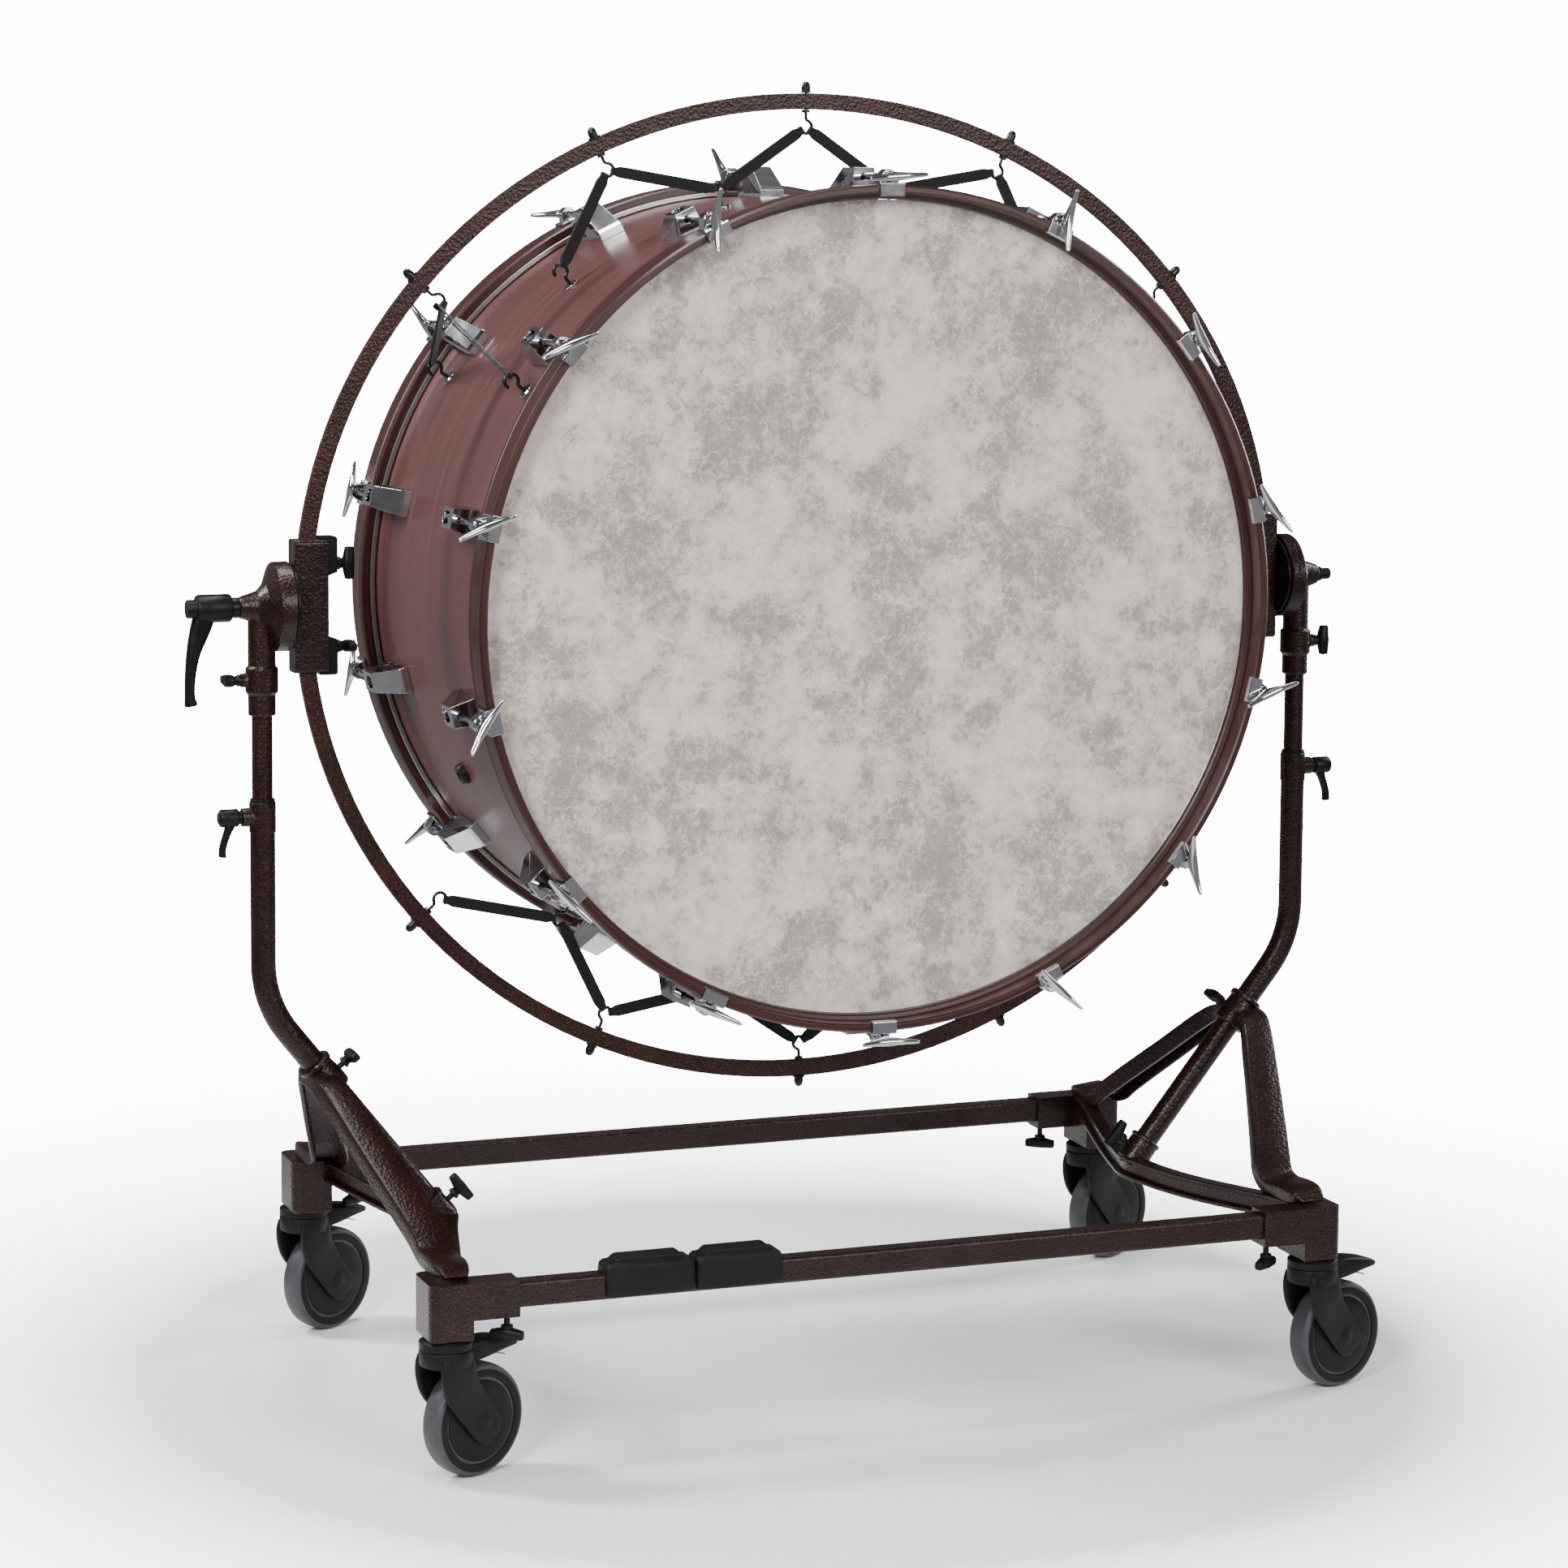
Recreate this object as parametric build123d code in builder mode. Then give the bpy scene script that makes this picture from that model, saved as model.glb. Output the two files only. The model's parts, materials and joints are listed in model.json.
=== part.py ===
from build123d import *
from math import acos, atan2, cos, degrees, radians, sin, sqrt, tan
import os

os.makedirs("parts", exist_ok=True)

# A concert bass drum hung in a suspension ring on a wheeled tilting stand.
# Millimetres. +X runs along the tilt axis, -Y is the playing side, +Z is up.
# The origin is the floor point under the centre of the drum.

# ---- drum ----
AXIS_HEIGHT = 925.0
SHELL_R = 457.0
SHELL_WALL = 9.0
SHELL_HALF = 228.5
HEAD_Y = 228.6
FILM = 0.5
HOOP_R = 474.0
HOOP_INNER_R = 464.5
HOOP_BACK = 220.0
HOOP_FACE = 264.0
LIP_R = 459.0
STATIONS = 14
ROD_RADIUS = 4.0
ROD_R = 483.0
LUG_TALL_END = 182.0
LUG_LOW_END = 108.0
LUG_TOP = 493.0
LUG_LOW_TOP = 468.0
LUG_WIDTH = 30.0
LUG_SCREWS = (119.0, 174.0)
NUT_Y = 159.0
CLAW_WIDTH = 29.0
WING_HALF = 34.0
VENT_ANGLE = -115.7
FRONT_HANDLES = (4, 81, -61, -53, 22, -82, -43, 0, -25, -45, 58, 21, 23, 88)
REAR_HANDLES = (70, 15, -38, 84, 40, -12, 62, -70, 8, 33, -55, 76, -20, 48)

# ---- suspension ring ----
RING_A = 611.0
RING_B = 578.0
RING_WIDTH = 18.6
RING_THICK = 10.0
HOOK_ANGLES = (0, 26.2, 52.2, 128.0, 153.8, 180, -153.8, -128.0, -52.2, -26.2)
HOOK_WIRE = 1.9
HOOK_EYE_R = 7.5
HOOK_EYE_DEPTH = 39.0
EYE_WIRE = 2.0
EYE_R = 8.0
EYE_CENTRE_R = 478.0
SIDE_EYE_ANGLE = 57.5
SIDE_EYE_Y = 150.0
CENTRE_EYE_ANGLES = (12.9, 38.6, 141.4, 167.1)
STRAP_WIDTH = 13.0
STRAP_END_WIDTH = 6.0
STRAP_INNER_R = 2.65
STRAP_THICK = 1.2

# ---- tilt heads and columns ----
BLOCK_IN = 575.0
BLOCK_OUT = 614.0
BLOCK_HALF_Z = 75.0
CLAMP_Z = 47.0
COLUMN_X = 649.0
AXLE_R = 8.0
INNER_TUBE_R = 11.65
OUTER_TUBE_R = 14.2
OUTER_TUBE_TOP = 705.0
FIT = 0.05
BEND_Z = 475.0
BEND_R = 130.0
SLANT = 38.5
COLLAR_SCREW_Z = 843.0
LEVER_Z = 688.0

# ---- base ----
UPPER_SOCKET_Z = 384.0
LOWER_SOCKET_Z = 221.0
BAR_Y = (302.4, 328.0)
BAR_Z = (190.4, 218.7)
BAR_END = 504.0
SOCKET_TOP = 222.5
STEM_X = 525.0
STEM_Y = 306.0
CORNER_SCREW_X = 459.0
PAD_SPANS = ((-350.6, -248.0), (-246.0, -146.0))

# ---- casters ----
WHEEL_R = 62.5
WHEEL_WIDTH = 30.0
HUB_R = 47.0
TRAIL = 38.0
HOUSING_R = 29.5
PEDAL_PIVOT = (24.0, 138.0)
CASTERS = {
    "fl": (-STEM_X, -STEM_Y, 24.0),
    "fr": (STEM_X, -STEM_Y, 17.0),
    "rl": (-STEM_X, STEM_Y, 28.0),
    "rr": (STEM_X, STEM_Y, 22.0),
}

DRUM_CENTRE = (0, 0, AXIS_HEIGHT)
DRUM_AXIS = Axis(DRUM_CENTRE, (0, 1, 0))
RADIAL = Plane(origin=DRUM_CENTRE, x_dir=(0, 0, 1), z_dir=(-1, 0, 0))
UP = (Align.CENTER, Align.CENTER, Align.MIN)
PITCH = 360 / STATIONS


def station(angle, rear=False):
    """Frame on the drum: X along the rim, -Y towards its own head, Z outwards."""
    turn = Location(DRUM_CENTRE) * Location((0, 0, 0), (0, angle, 0))
    if rear:
        return turn * Location((0, 0, 0), (0, 0, 180))
    return turn


FRONT = [station(PITCH * i) for i in range(STATIONS)]
REAR = [station(PITCH * i, rear=True) for i in range(STATIONS)]
ALL_STATIONS = FRONT + REAR


def outline(plane, points):
    """Closed polygon drawn on a plane."""
    with BuildSketch(plane) as sketch:
        with BuildLine():
            Polyline(*points, close=True)
        make_face()
    return sketch.sketch


def both_sides(location):
    """The same frame on the left and on the right of the stand."""
    half_turn = Location((0, 0, 0), (0, 0, 180))
    return [location, half_turn * location]


def ring_point(angle, inset=0.0):
    """Frame on the oval ring's outer face with Z along its outward normal."""
    s = sin(radians(angle))
    c = cos(radians(angle))
    reach = 1 / sqrt((s / RING_A) ** 2 + (c / RING_B) ** 2)
    x = reach * s
    z = reach * c
    normal = degrees(atan2(x / RING_A**2, z / RING_B**2))
    frame = Location((x, 0, AXIS_HEIGHT + z)) * Location((0, 0, 0), (0, normal, 0))
    return frame * Location((0, 0, -inset))


def wing_outline(plane, half, base, rise, thick):
    """Swept T of a wing handle: a waist with two upturned rounded wings."""
    with BuildSketch(plane) as sketch:
        with BuildLine() as edge:
            lower = Spline(
                (0.12 * half, base),
                (0.3 * half, base + 0.46 * rise),
                (0.66 * half, base + 0.62 * rise),
                (0.97 * half, base + 0.72 * rise),
            )
            tip = ThreePointArc(
                lower @ 1,
                (half, base + 0.72 * rise + 0.4 * thick),
                (0.95 * half, base + 0.72 * rise + 0.8 * thick),
            )
            upper = Spline(
                tip @ 1,
                (0.55 * half, base + 0.62 * rise + thick),
                (0.2 * half, base + 0.5 * rise + 1.15 * thick),
                (0, base + 0.46 * rise + 1.2 * thick),
            )
            mirror(about=Plane.YZ)
            Line((-0.12 * half, base), (0.12 * half, base))
        make_face()
    return sketch.sketch


def wing_screw(shaft_r, shaft, hub_r, hub, span):
    """Wing screw along +Z with its tip at zero and its wings in the XZ plane."""
    with BuildPart() as screw:
        Cylinder(shaft_r, shaft, align=UP)
        with Locations((0, 0, shaft)):
            Cone(hub_r, 0.75 * hub_r, hub, align=UP)
        extrude(wing_outline(Plane.XZ, span / 2, shaft + 0.35 * hub, 12, 5), amount=2.2, both=True)
    return screw.part


# ================================================================= drum
with BuildPart() as shell:
    with BuildSketch(RADIAL):
        with BuildLine():
            Polyline(
                (SHELL_R - SHELL_WALL, -SHELL_HALF + 6),
                (SHELL_R - 3, -SHELL_HALF),
                (SHELL_R - 1, -SHELL_HALF),
                (SHELL_R, -SHELL_HALF + 1.5),
                (SHELL_R, SHELL_HALF - 1.5),
                (SHELL_R - 1, SHELL_HALF),
                (SHELL_R - 3, SHELL_HALF),
                (SHELL_R - SHELL_WALL, SHELL_HALF - 6),
                close=True,
            )
        make_face()
    revolve(axis=DRUM_AXIS)
    for frame in ALL_STATIONS:
        for reach in LUG_SCREWS:
            with Locations(frame * Location((0, -reach, SHELL_R - SHELL_WALL / 2))):
                Cylinder(2.6, 2 * SHELL_WALL, mode=Mode.SUBTRACT)
    with Locations(station(VENT_ANGLE) * Location((0, 0, SHELL_R - SHELL_WALL / 2))):
        Cylinder(9.8, 2 * SHELL_WALL, mode=Mode.SUBTRACT)


def head(side):
    """Drum head: a flat film with a short collar over the shell's edge."""
    with BuildPart() as skin:
        with BuildSketch(RADIAL):
            with BuildLine():
                Polyline(
                    (0, side * HEAD_Y),
                    (457.3, side * HEAD_Y),
                    (457.3, side * HOOP_BACK),
                    (457.8, side * HOOP_BACK),
                    (457.8, side * (HEAD_Y + FILM)),
                    (0, side * (HEAD_Y + FILM)),
                    close=True,
                )
            make_face()
        revolve(axis=DRUM_AXIS)
    return skin.part


with BuildPart() as front_head:
    add(head(-1))

with BuildPart() as rear_head:
    add(head(1))

with BuildPart() as flesh_hoops:
    with BuildSketch(RADIAL) as channel:
        for side in (-1, 1):
            with Locations((460.9, side * 222.2)):
                Rectangle(5.8, 14.4)
        chamfer(channel.vertices(), 0.7)
    revolve(axis=DRUM_AXIS)


def counterhoop(side):
    """Wooden counterhoop: a lip over the flesh hoop and a groove round the rim."""
    profile = (
        (464.2, HOOP_BACK),
        (HOOP_R - 2, HOOP_BACK),
        (HOOP_R, HOOP_BACK + 2),
        (HOOP_R, 226.5),
        (HOOP_R - 1.4, 227.2),
        (HOOP_R - 1.4, 228.8),
        (HOOP_R, 229.5),
        (HOOP_R, HOOP_FACE - 2.5),
        (HOOP_R - 2.5, HOOP_FACE),
        (HOOP_INNER_R + 2, HOOP_FACE),
        (HOOP_INNER_R, HOOP_FACE - 2),
        (HOOP_INNER_R, 238),
        (LIP_R + 1.5, 236),
        (LIP_R, 234.5),
        (LIP_R, 229.6),
        (464.2, 229.6),
    )
    with BuildPart() as hoop:
        with BuildSketch(RADIAL):
            with BuildLine():
                Polyline(*[(r, side * y) for r, y in profile], close=True)
            make_face()
        revolve(axis=DRUM_AXIS)
    return hoop.part


with BuildPart() as front_hoop:
    add(counterhoop(-1))

with BuildPart() as rear_hoop:
    add(counterhoop(1))

# One lug: a tapered wedge with a flat top and a round-ended pocket for the swivel nut.
with BuildPart() as lug_form:
    extrude(
        outline(
            Plane.YZ,
            (
                (-LUG_LOW_END, SHELL_R - 6),
                (-LUG_TALL_END, SHELL_R - 6),
                (-LUG_TALL_END, LUG_TOP),
                (-147, LUG_TOP),
                (-LUG_LOW_END - 3, LUG_LOW_TOP + 1.5),
                (-LUG_LOW_END, LUG_LOW_TOP - 2),
            ),
        ),
        amount=LUG_WIDTH,
        both=True,
    )
    extrude(
        outline(
            Plane.XZ.offset(LUG_LOW_END - 10),
            (
                (-LUG_WIDTH / 2, SHELL_R - 6),
                (LUG_WIDTH / 2, SHELL_R - 6),
                (LUG_WIDTH / 2, SHELL_R + 5),
                (LUG_WIDTH / 2 - 3, LUG_TOP),
                (3 - LUG_WIDTH / 2, LUG_TOP),
                (-LUG_WIDTH / 2, SHELL_R + 5),
            ),
        ),
        amount=100,
        mode=Mode.INTERSECT,
    )
    with BuildSketch(Plane.XY.offset(LUG_TOP + 1)):
        with Locations((0, -NUT_Y)):
            SlotOverall(24, 14.4, rotation=90)
    extrude(amount=-18.5, mode=Mode.SUBTRACT)
    with Locations((0, -LUG_TALL_END, ROD_R)):
        Cylinder(ROD_RADIUS + 0.4, 50, rotation=(90, 0, 0), mode=Mode.SUBTRACT)
    for reach in LUG_SCREWS:
        with Locations((0, -reach, SHELL_R + 1)):
            Cylinder(2.55, 16, mode=Mode.SUBTRACT)
    with Locations(Location((0, -145, 0), (90, 0, 0))):
        Cylinder(SHELL_R + 0.1, 100, mode=Mode.SUBTRACT)

with BuildPart() as lugs:
    with Locations(*ALL_STATIONS):
        add(lug_form.part)

with BuildPart() as lug_screws:
    for reach in LUG_SCREWS:
        seat = Location((0, -reach, SHELL_R - SHELL_WALL))
        with Locations(*[frame * seat for frame in ALL_STATIONS]):
            Cylinder(2.5, 16.5, align=UP)
        head_seat = Location((0, -reach, SHELL_R - SHELL_WALL - 3.4))
        with Locations(*[frame * head_seat for frame in ALL_STATIONS]):
            Cone(3.2, 5.0, 3.2, align=UP)
            with Locations((0, 0, 3.1)):
                Cylinder(2.5, 1.0, align=UP)

with BuildPart() as nut_form:
    with Locations(Location((0, -NUT_Y, ROD_R), (90, 0, 0))):
        Cylinder(6.5, 13)
        Cylinder(ROD_RADIUS + FIT, 14, mode=Mode.SUBTRACT)
    chamfer(nut_form.edges().filter_by(GeomType.CIRCLE).sort_by(Axis.Y)[-1], 0.8)

with BuildPart() as swivel_nuts:
    with Locations(*ALL_STATIONS):
        add(nut_form.part)

# One claw: bent plate over the counterhoop, round eye for the rod, hooked toe.
with BuildPart() as claw_form:
    extrude(
        outline(
            Plane.YZ,
            (
                (-235, 474.4),
                (-264.4, 474.4),
                (-264.4, 463.8),
                (-259, 463.8),
                (-259, 461.4),
                (-266.0, 461.4),
                (-267.0, 462.4),
                (-267.0, 475.2),
                (-265.8, 476.3),
                (-235, 476.3),
            ),
        ),
        amount=CLAW_WIDTH / 2,
        both=True,
    )
    fillet(claw_form.edges().filter_by(Axis.Z).group_by(Axis.Y)[-1], 0.8)
    with Locations(Location((0, -248, ROD_R), (90, 0, 0))):
        Cylinder(8.5, 15.6)
    extrude(
        outline(Plane.XZ.offset(240.2), ((-12, 475), (12, 475), (7.6, 486.8), (-7.6, 486.8))),
        amount=15.6,
    )
    with Locations(Location((0, -248, ROD_R), (90, 0, 0))):
        Cylinder(ROD_RADIUS + 0.25, 40, mode=Mode.SUBTRACT)

with BuildPart() as claws:
    with Locations(*ALL_STATIONS):
        add(claw_form.part)

with BuildPart() as rod_form:
    with Locations(Location((0, -150, ROD_R), (90, 0, 0))):
        Cylinder(ROD_RADIUS, 108, align=UP)
    with Locations(Location((0, -255.85, ROD_R), (90, 0, 0))):
        Cone(6.4, 5.2, 17, align=UP)

# The T handle stands on its own frame so that each rod can be left at its own turn.
with BuildPart() as handle_form:
    with BuildSketch(Plane.XY):
        with BuildLine():
            low = Spline((4.6, -264.5), (7.5, -273), (19, -277.5), (WING_HALF, -283))
            end = ThreePointArc(low @ 1, (WING_HALF + 1.6, -285.2), (WING_HALF - 0.5, -287))
            high = Spline(end @ 1, (18, -284.5), (8, -282), (0, -281))
            mirror(about=Plane.YZ)
            Line((-4.6, -264.5), (4.6, -264.5))
        make_face()
    extrude(amount=2.9, both=True)

with BuildPart() as tension_rods:
    with Locations(*ALL_STATIONS):
        add(rod_form.part)
    for frames, turns in ((FRONT, FRONT_HANDLES), (REAR, REAR_HANDLES)):
        for i, turn in enumerate(turns):
            spin = Location((0, 0, ROD_R), (0, -(turn + PITCH * i), 0))
            with Locations(frames[i] * spin):
                add(handle_form.part)

with BuildPart() as vent_grommet:
    with BuildSketch(Plane.XZ) as section:
        with BuildLine():
            Polyline(
                (6, 444.6),
                (12.5, 444.6),
                (12.5, 447.2),
                (9.7, 447.2),
                (9.7, 457.1),
                (13, 457.1),
                (13, 461),
                (11, 464.6),
                (7, 464.6),
                (6, 463.4),
                close=True,
            )
        make_face()
    revolve(axis=Axis.Z)
vent_grommet.part = station(VENT_ANGLE) * vent_grommet.part

# ================================================================= suspension


def hook_path(start, centre, eye_r, bend_r, reach, up):
    """Wire line in the XZ plane: a stem, a small bend and a round open eye."""
    bend = acos(bend_r / (bend_r + eye_r))
    bend_z = centre + up * (bend_r + eye_r) * sin(bend)

    def on_eye(angle):
        return (eye_r * cos(angle), 0, centre + up * eye_r * sin(angle))

    def on_bend(angle):
        return (bend_r - bend_r * cos(angle), 0, bend_z - up * bend_r * sin(angle))

    with BuildLine() as path:
        Line((0, 0, start), (0, 0, bend_z))
        ThreePointArc((0, 0, bend_z), on_bend(bend / 2), on_bend(bend))
        sweep_angle = radians(reach)
        ThreePointArc(on_eye(bend), on_eye(bend - sweep_angle / 2), on_eye(bend - sweep_angle))
    return path.line


def wire(path, radius):
    """Round wire along a path."""
    with BuildPart() as rod:
        with BuildSketch(Plane(origin=path @ 0, z_dir=path % 0)):
            Circle(radius)
        sweep(path=path)
    return rod.part


EYE_FORM = wire(hook_path(SHELL_R + 3.0, EYE_CENTRE_R, EYE_R, 4.0, 258, -1), EYE_WIRE)
HOOK_FORM = wire(hook_path(9.0, -HOOK_EYE_DEPTH, HOOK_EYE_R, 5.0, 250, 1), HOOK_WIRE)

SIDE_EYES = []
for angle in (SIDE_EYE_ANGLE, -SIDE_EYE_ANGLE):
    for y in (-SIDE_EYE_Y, SIDE_EYE_Y):
        SIDE_EYES.append(station(angle) * Location((0, y, 0)))
CENTRE_EYES = [station(side * angle) for angle in CENTRE_EYE_ANGLES for side in (1, -1)]

with BuildPart() as shell_hooks:
    with Locations(*CENTRE_EYES, *SIDE_EYES):
        add(EYE_FORM)

with BuildPart() as shell_hook_bases:
    with Locations(*[frame * Location((0, 0, SHELL_R + 0.05)) for frame in CENTRE_EYES + SIDE_EYES]):
        Cylinder(10, 1.6, align=UP)
        with Locations((0, 0, 1.6)):
            Cone(10, 7.5, 1.2, align=UP)

# Sixteen-sided drill for the holes that the hooks pass through.
with BuildPart() as drill:
    with BuildSketch(Plane.XY.offset(-RING_WIDTH)):
        RegularPolygon(HOOK_WIRE + 0.22, 16)
    extrude(amount=2 * RING_WIDTH)

with BuildPart() as ring:
    with BuildSketch(Plane(origin=DRUM_CENTRE, x_dir=(1, 0, 0), z_dir=(0, -1, 0))):
        Ellipse(RING_A, RING_B)
        Ellipse(RING_A - RING_WIDTH, RING_B - RING_WIDTH, mode=Mode.SUBTRACT)
    extrude(amount=RING_THICK / 2, both=True)
    for angle in HOOK_ANGLES:
        with Locations(ring_point(angle, RING_WIDTH / 2)):
            add(drill.part, mode=Mode.SUBTRACT)

with BuildPart() as ring_hooks:
    with Locations(*[ring_point(angle) for angle in HOOK_ANGLES]):
        add(HOOK_FORM)

with BuildPart() as hook_nuts:
    with BuildSketch(Plane.XZ):
        with BuildLine():
            Polyline(
                (0, 9.2),
                (HOOK_WIRE + FIT, 9.2),
                (HOOK_WIRE + FIT, 0.4),
                (7.4, 0.4),
                (7.4, 1.6),
                (5.4, 1.8),
                (5.4, 8.0),
                (4.4, 11.2),
                (2.4, 13.3),
                (0, 13.7),
                close=True,
            )
        make_face()
    revolve(axis=Axis.Z)
    nut_seat = Plane.XY.offset(-RING_WIDTH - 0.45)
    with BuildSketch(nut_seat):
        RegularPolygon(5.2, 6)
        Circle(HOOK_WIRE + FIT, mode=Mode.SUBTRACT)
    extrude(amount=-3.2)
NUT_PAIR = hook_nuts.part

with BuildPart() as hook_nuts:
    with Locations(*[ring_point(angle) for angle in HOOK_ANGLES]):
        add(NUT_PAIR)


def strap(outer, inner, across, width=STRAP_WIDTH):
    """Flat webbing loop round two wires, its width lying along `across`."""
    along = (inner - outer).normalized()
    length = (inner - outer).length
    wide = (across - along * across.dot(along)).normalized()
    half = width / 2
    end = STRAP_END_WIDTH / 2
    with BuildPart() as loop:
        with BuildSketch(Plane(origin=outer, x_dir=along, z_dir=wide)):
            with Locations((length / 2, 0)):
                SlotCenterToCenter(length, 2 * (STRAP_INNER_R + STRAP_THICK))
                SlotCenterToCenter(length, 2 * STRAP_INNER_R, mode=Mode.SUBTRACT)
        extrude(amount=half, both=True)
        face = outline(
            Plane(origin=outer, x_dir=along, z_dir=along.cross(wide)),
            (
                (-6, -end),
                (6, -end),
                (22, -half),
                (length - 22, -half),
                (length - 6, -end),
                (length + 6, -end),
                (length + 6, end),
                (length - 6, end),
                (length - 22, half),
                (22, half),
                (6, end),
                (-6, end),
            ),
        )
        extrude(face, amount=8, both=True, mode=Mode.INTERSECT)
    return loop.part


def eye_centre(frame):
    """Centre of a shell hook's eye."""
    return (frame * Location((0, 0, EYE_CENTRE_R))).position


def hook_centre(angle):
    """Centre of a ring hook's eye."""
    return ring_point(angle, HOOK_EYE_DEPTH).position


def flat_strap(hook_angle, eye_angle):
    """Strap in the drum's mid plane: each end bears on its wire along the pull."""
    outer = hook_centre(hook_angle)
    inner = eye_centre(station(eye_angle))
    pull = (inner - outer).normalized()
    face = pull.cross(Vector(0, 1, 0))
    return strap(outer + pull * HOOK_EYE_R, inner - pull * EYE_R, face)


def side_strap(side, y):
    """Strap from a ring hook at the shoulder out to a hook near one head."""
    centre = hook_centre(side * HOOK_ANGLES[2])
    eye = eye_centre(station(side * SIDE_EYE_ANGLE) * Location((0, y, 0)))
    pull = eye - centre
    level = Vector(pull.X, 0, pull.Z).normalized()
    swing = 30 if y < 0 else -30
    bearing = level.rotate(Axis.Y, swing)
    outer = centre + bearing * HOOK_EYE_R
    return strap(outer, eye - level * EYE_R, bearing.cross(Vector(0, 1, 0)))


STRAPS = []
for side in (1, -1):
    for hook_angle, eye_angle in (
        (0, 12.9),
        (26.2, 12.9),
        (26.2, 38.6),
        (128.0, 141.4),
        (153.8, 141.4),
        (153.8, 167.1),
        (180, 167.1),
    ):
        STRAPS.append(flat_strap(side * hook_angle, side * eye_angle))
    for y in (-SIDE_EYE_Y, SIDE_EYE_Y):
        STRAPS.append(side_strap(side, y))

with BuildPart() as straps:
    for loop in STRAPS:
        add(loop)

# ================================================================= tilt heads

AXIS_RIGHT = Location((0, 0, AXIS_HEIGHT), (0, 90, 0))

with BuildPart() as ring_clamp_blocks:
    for side in (-1, 1):
        with Locations((side * (BLOCK_IN + BLOCK_OUT) / 2, 0, AXIS_HEIGHT)):
            Box(BLOCK_OUT - BLOCK_IN, 30, 2 * BLOCK_HALF_Z)
    fillet(ring_clamp_blocks.edges().filter_by(Axis.X), 5)
    with BuildSketch(Plane(origin=DRUM_CENTRE, x_dir=(1, 0, 0), z_dir=(0, -1, 0))):
        Ellipse(RING_A + 0.2, RING_B + 0.2)
        Ellipse(RING_A - RING_WIDTH - 0.2, RING_B - RING_WIDTH - 0.2, mode=Mode.SUBTRACT)
    extrude(amount=RING_THICK / 2 + 0.2, both=True, mode=Mode.SUBTRACT)
    for side in (-1, 1):
        for z in (-CLAMP_Z, CLAMP_Z):
            with Locations(Location((side * (BLOCK_IN + 7), 0, AXIS_HEIGHT + z), (0, 90, 0))):
                Cylinder(4.1, 16, mode=Mode.SUBTRACT)

with BuildPart() as clamp_lugs:
    for side in (-1, 1):
        for up in (-1, 1):
            with BuildSketch(Plane.XZ):
                with BuildLine():
                    Polyline(
                        (side * 564, AXIS_HEIGHT + up * 38),
                        (side * (BLOCK_IN - 0.1), AXIS_HEIGHT + up * 34),
                        (side * (BLOCK_IN - 0.1), AXIS_HEIGHT + up * (BLOCK_HALF_Z + 0.1)),
                        (side * 584, AXIS_HEIGHT + up * (BLOCK_HALF_Z + 0.1)),
                        (side * 584, AXIS_HEIGHT + up * (BLOCK_HALF_Z + 3)),
                        (side * 566, AXIS_HEIGHT + up * (BLOCK_HALF_Z + 3)),
                        (side * 564, AXIS_HEIGHT + up * (BLOCK_HALF_Z + 1)),
                        close=True,
                    )
                make_face()
            extrude(amount=12, both=True)
            with Locations(Location((side * 570, 0, AXIS_HEIGHT + up * CLAMP_Z), (0, 90, 0))):
                Cylinder(4.2, 20, mode=Mode.SUBTRACT)

CLAMP_SCREW = wing_screw(4.0, 25.0, 6.5, 9.0, 36.0)

with BuildPart() as clamp_screws:
    for side in (-1, 1):
        for up, turn in ((1, 0), (-1, 90)):
            tip = Location((side * 589.0, 0, AXIS_HEIGHT + up * CLAMP_Z), (0, -90 * side, 0))
            with Locations(tip * Location((0, 0, 0), (0, 0, turn))):
                add(CLAMP_SCREW)

with BuildPart() as tilt_discs:
    for side in (-1, 1):
        with Locations(Location((side * 616.05, 0, AXIS_HEIGHT), (0, 90, 0))):
            Cylinder(47, 3.9)
    chamfer(tilt_discs.edges().filter_by(GeomType.CIRCLE), 0.8)

with BuildPart() as tilt_axles:
    for side in (-1, 1):
        with Locations(Location((side * 618.05, 0, AXIS_HEIGHT), (0, 90 * side, 0))):
            Cylinder(AXLE_R, 56.5, align=UP)
            Cylinder(12, 0.2, align=UP)
    with Locations(Location((-674, 0, AXIS_HEIGHT), (0, -90, 0))):
        Cylinder(5, 34, align=UP)
    with Locations(Location((674, 0, AXIS_HEIGHT), (0, 90, 0))):
        Cylinder(4, 16, align=UP)

with BuildPart() as axle_end_nut:
    with BuildSketch(Plane.XY):
        with BuildLine():
            Polyline(
                (675.1, 4 + FIT),
                (690.5, 4 + FIT),
                (690.5, 0),
                (694, 0),
                (694, 5.5),
                (692.5, 7),
                (682, 7),
                (681, 9),
                (675.1, 9),
                close=True,
            )
        make_face()
    revolve(axis=Axis.X)
axle_end_nut.part = Location(DRUM_CENTRE) * axle_end_nut.part


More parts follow.
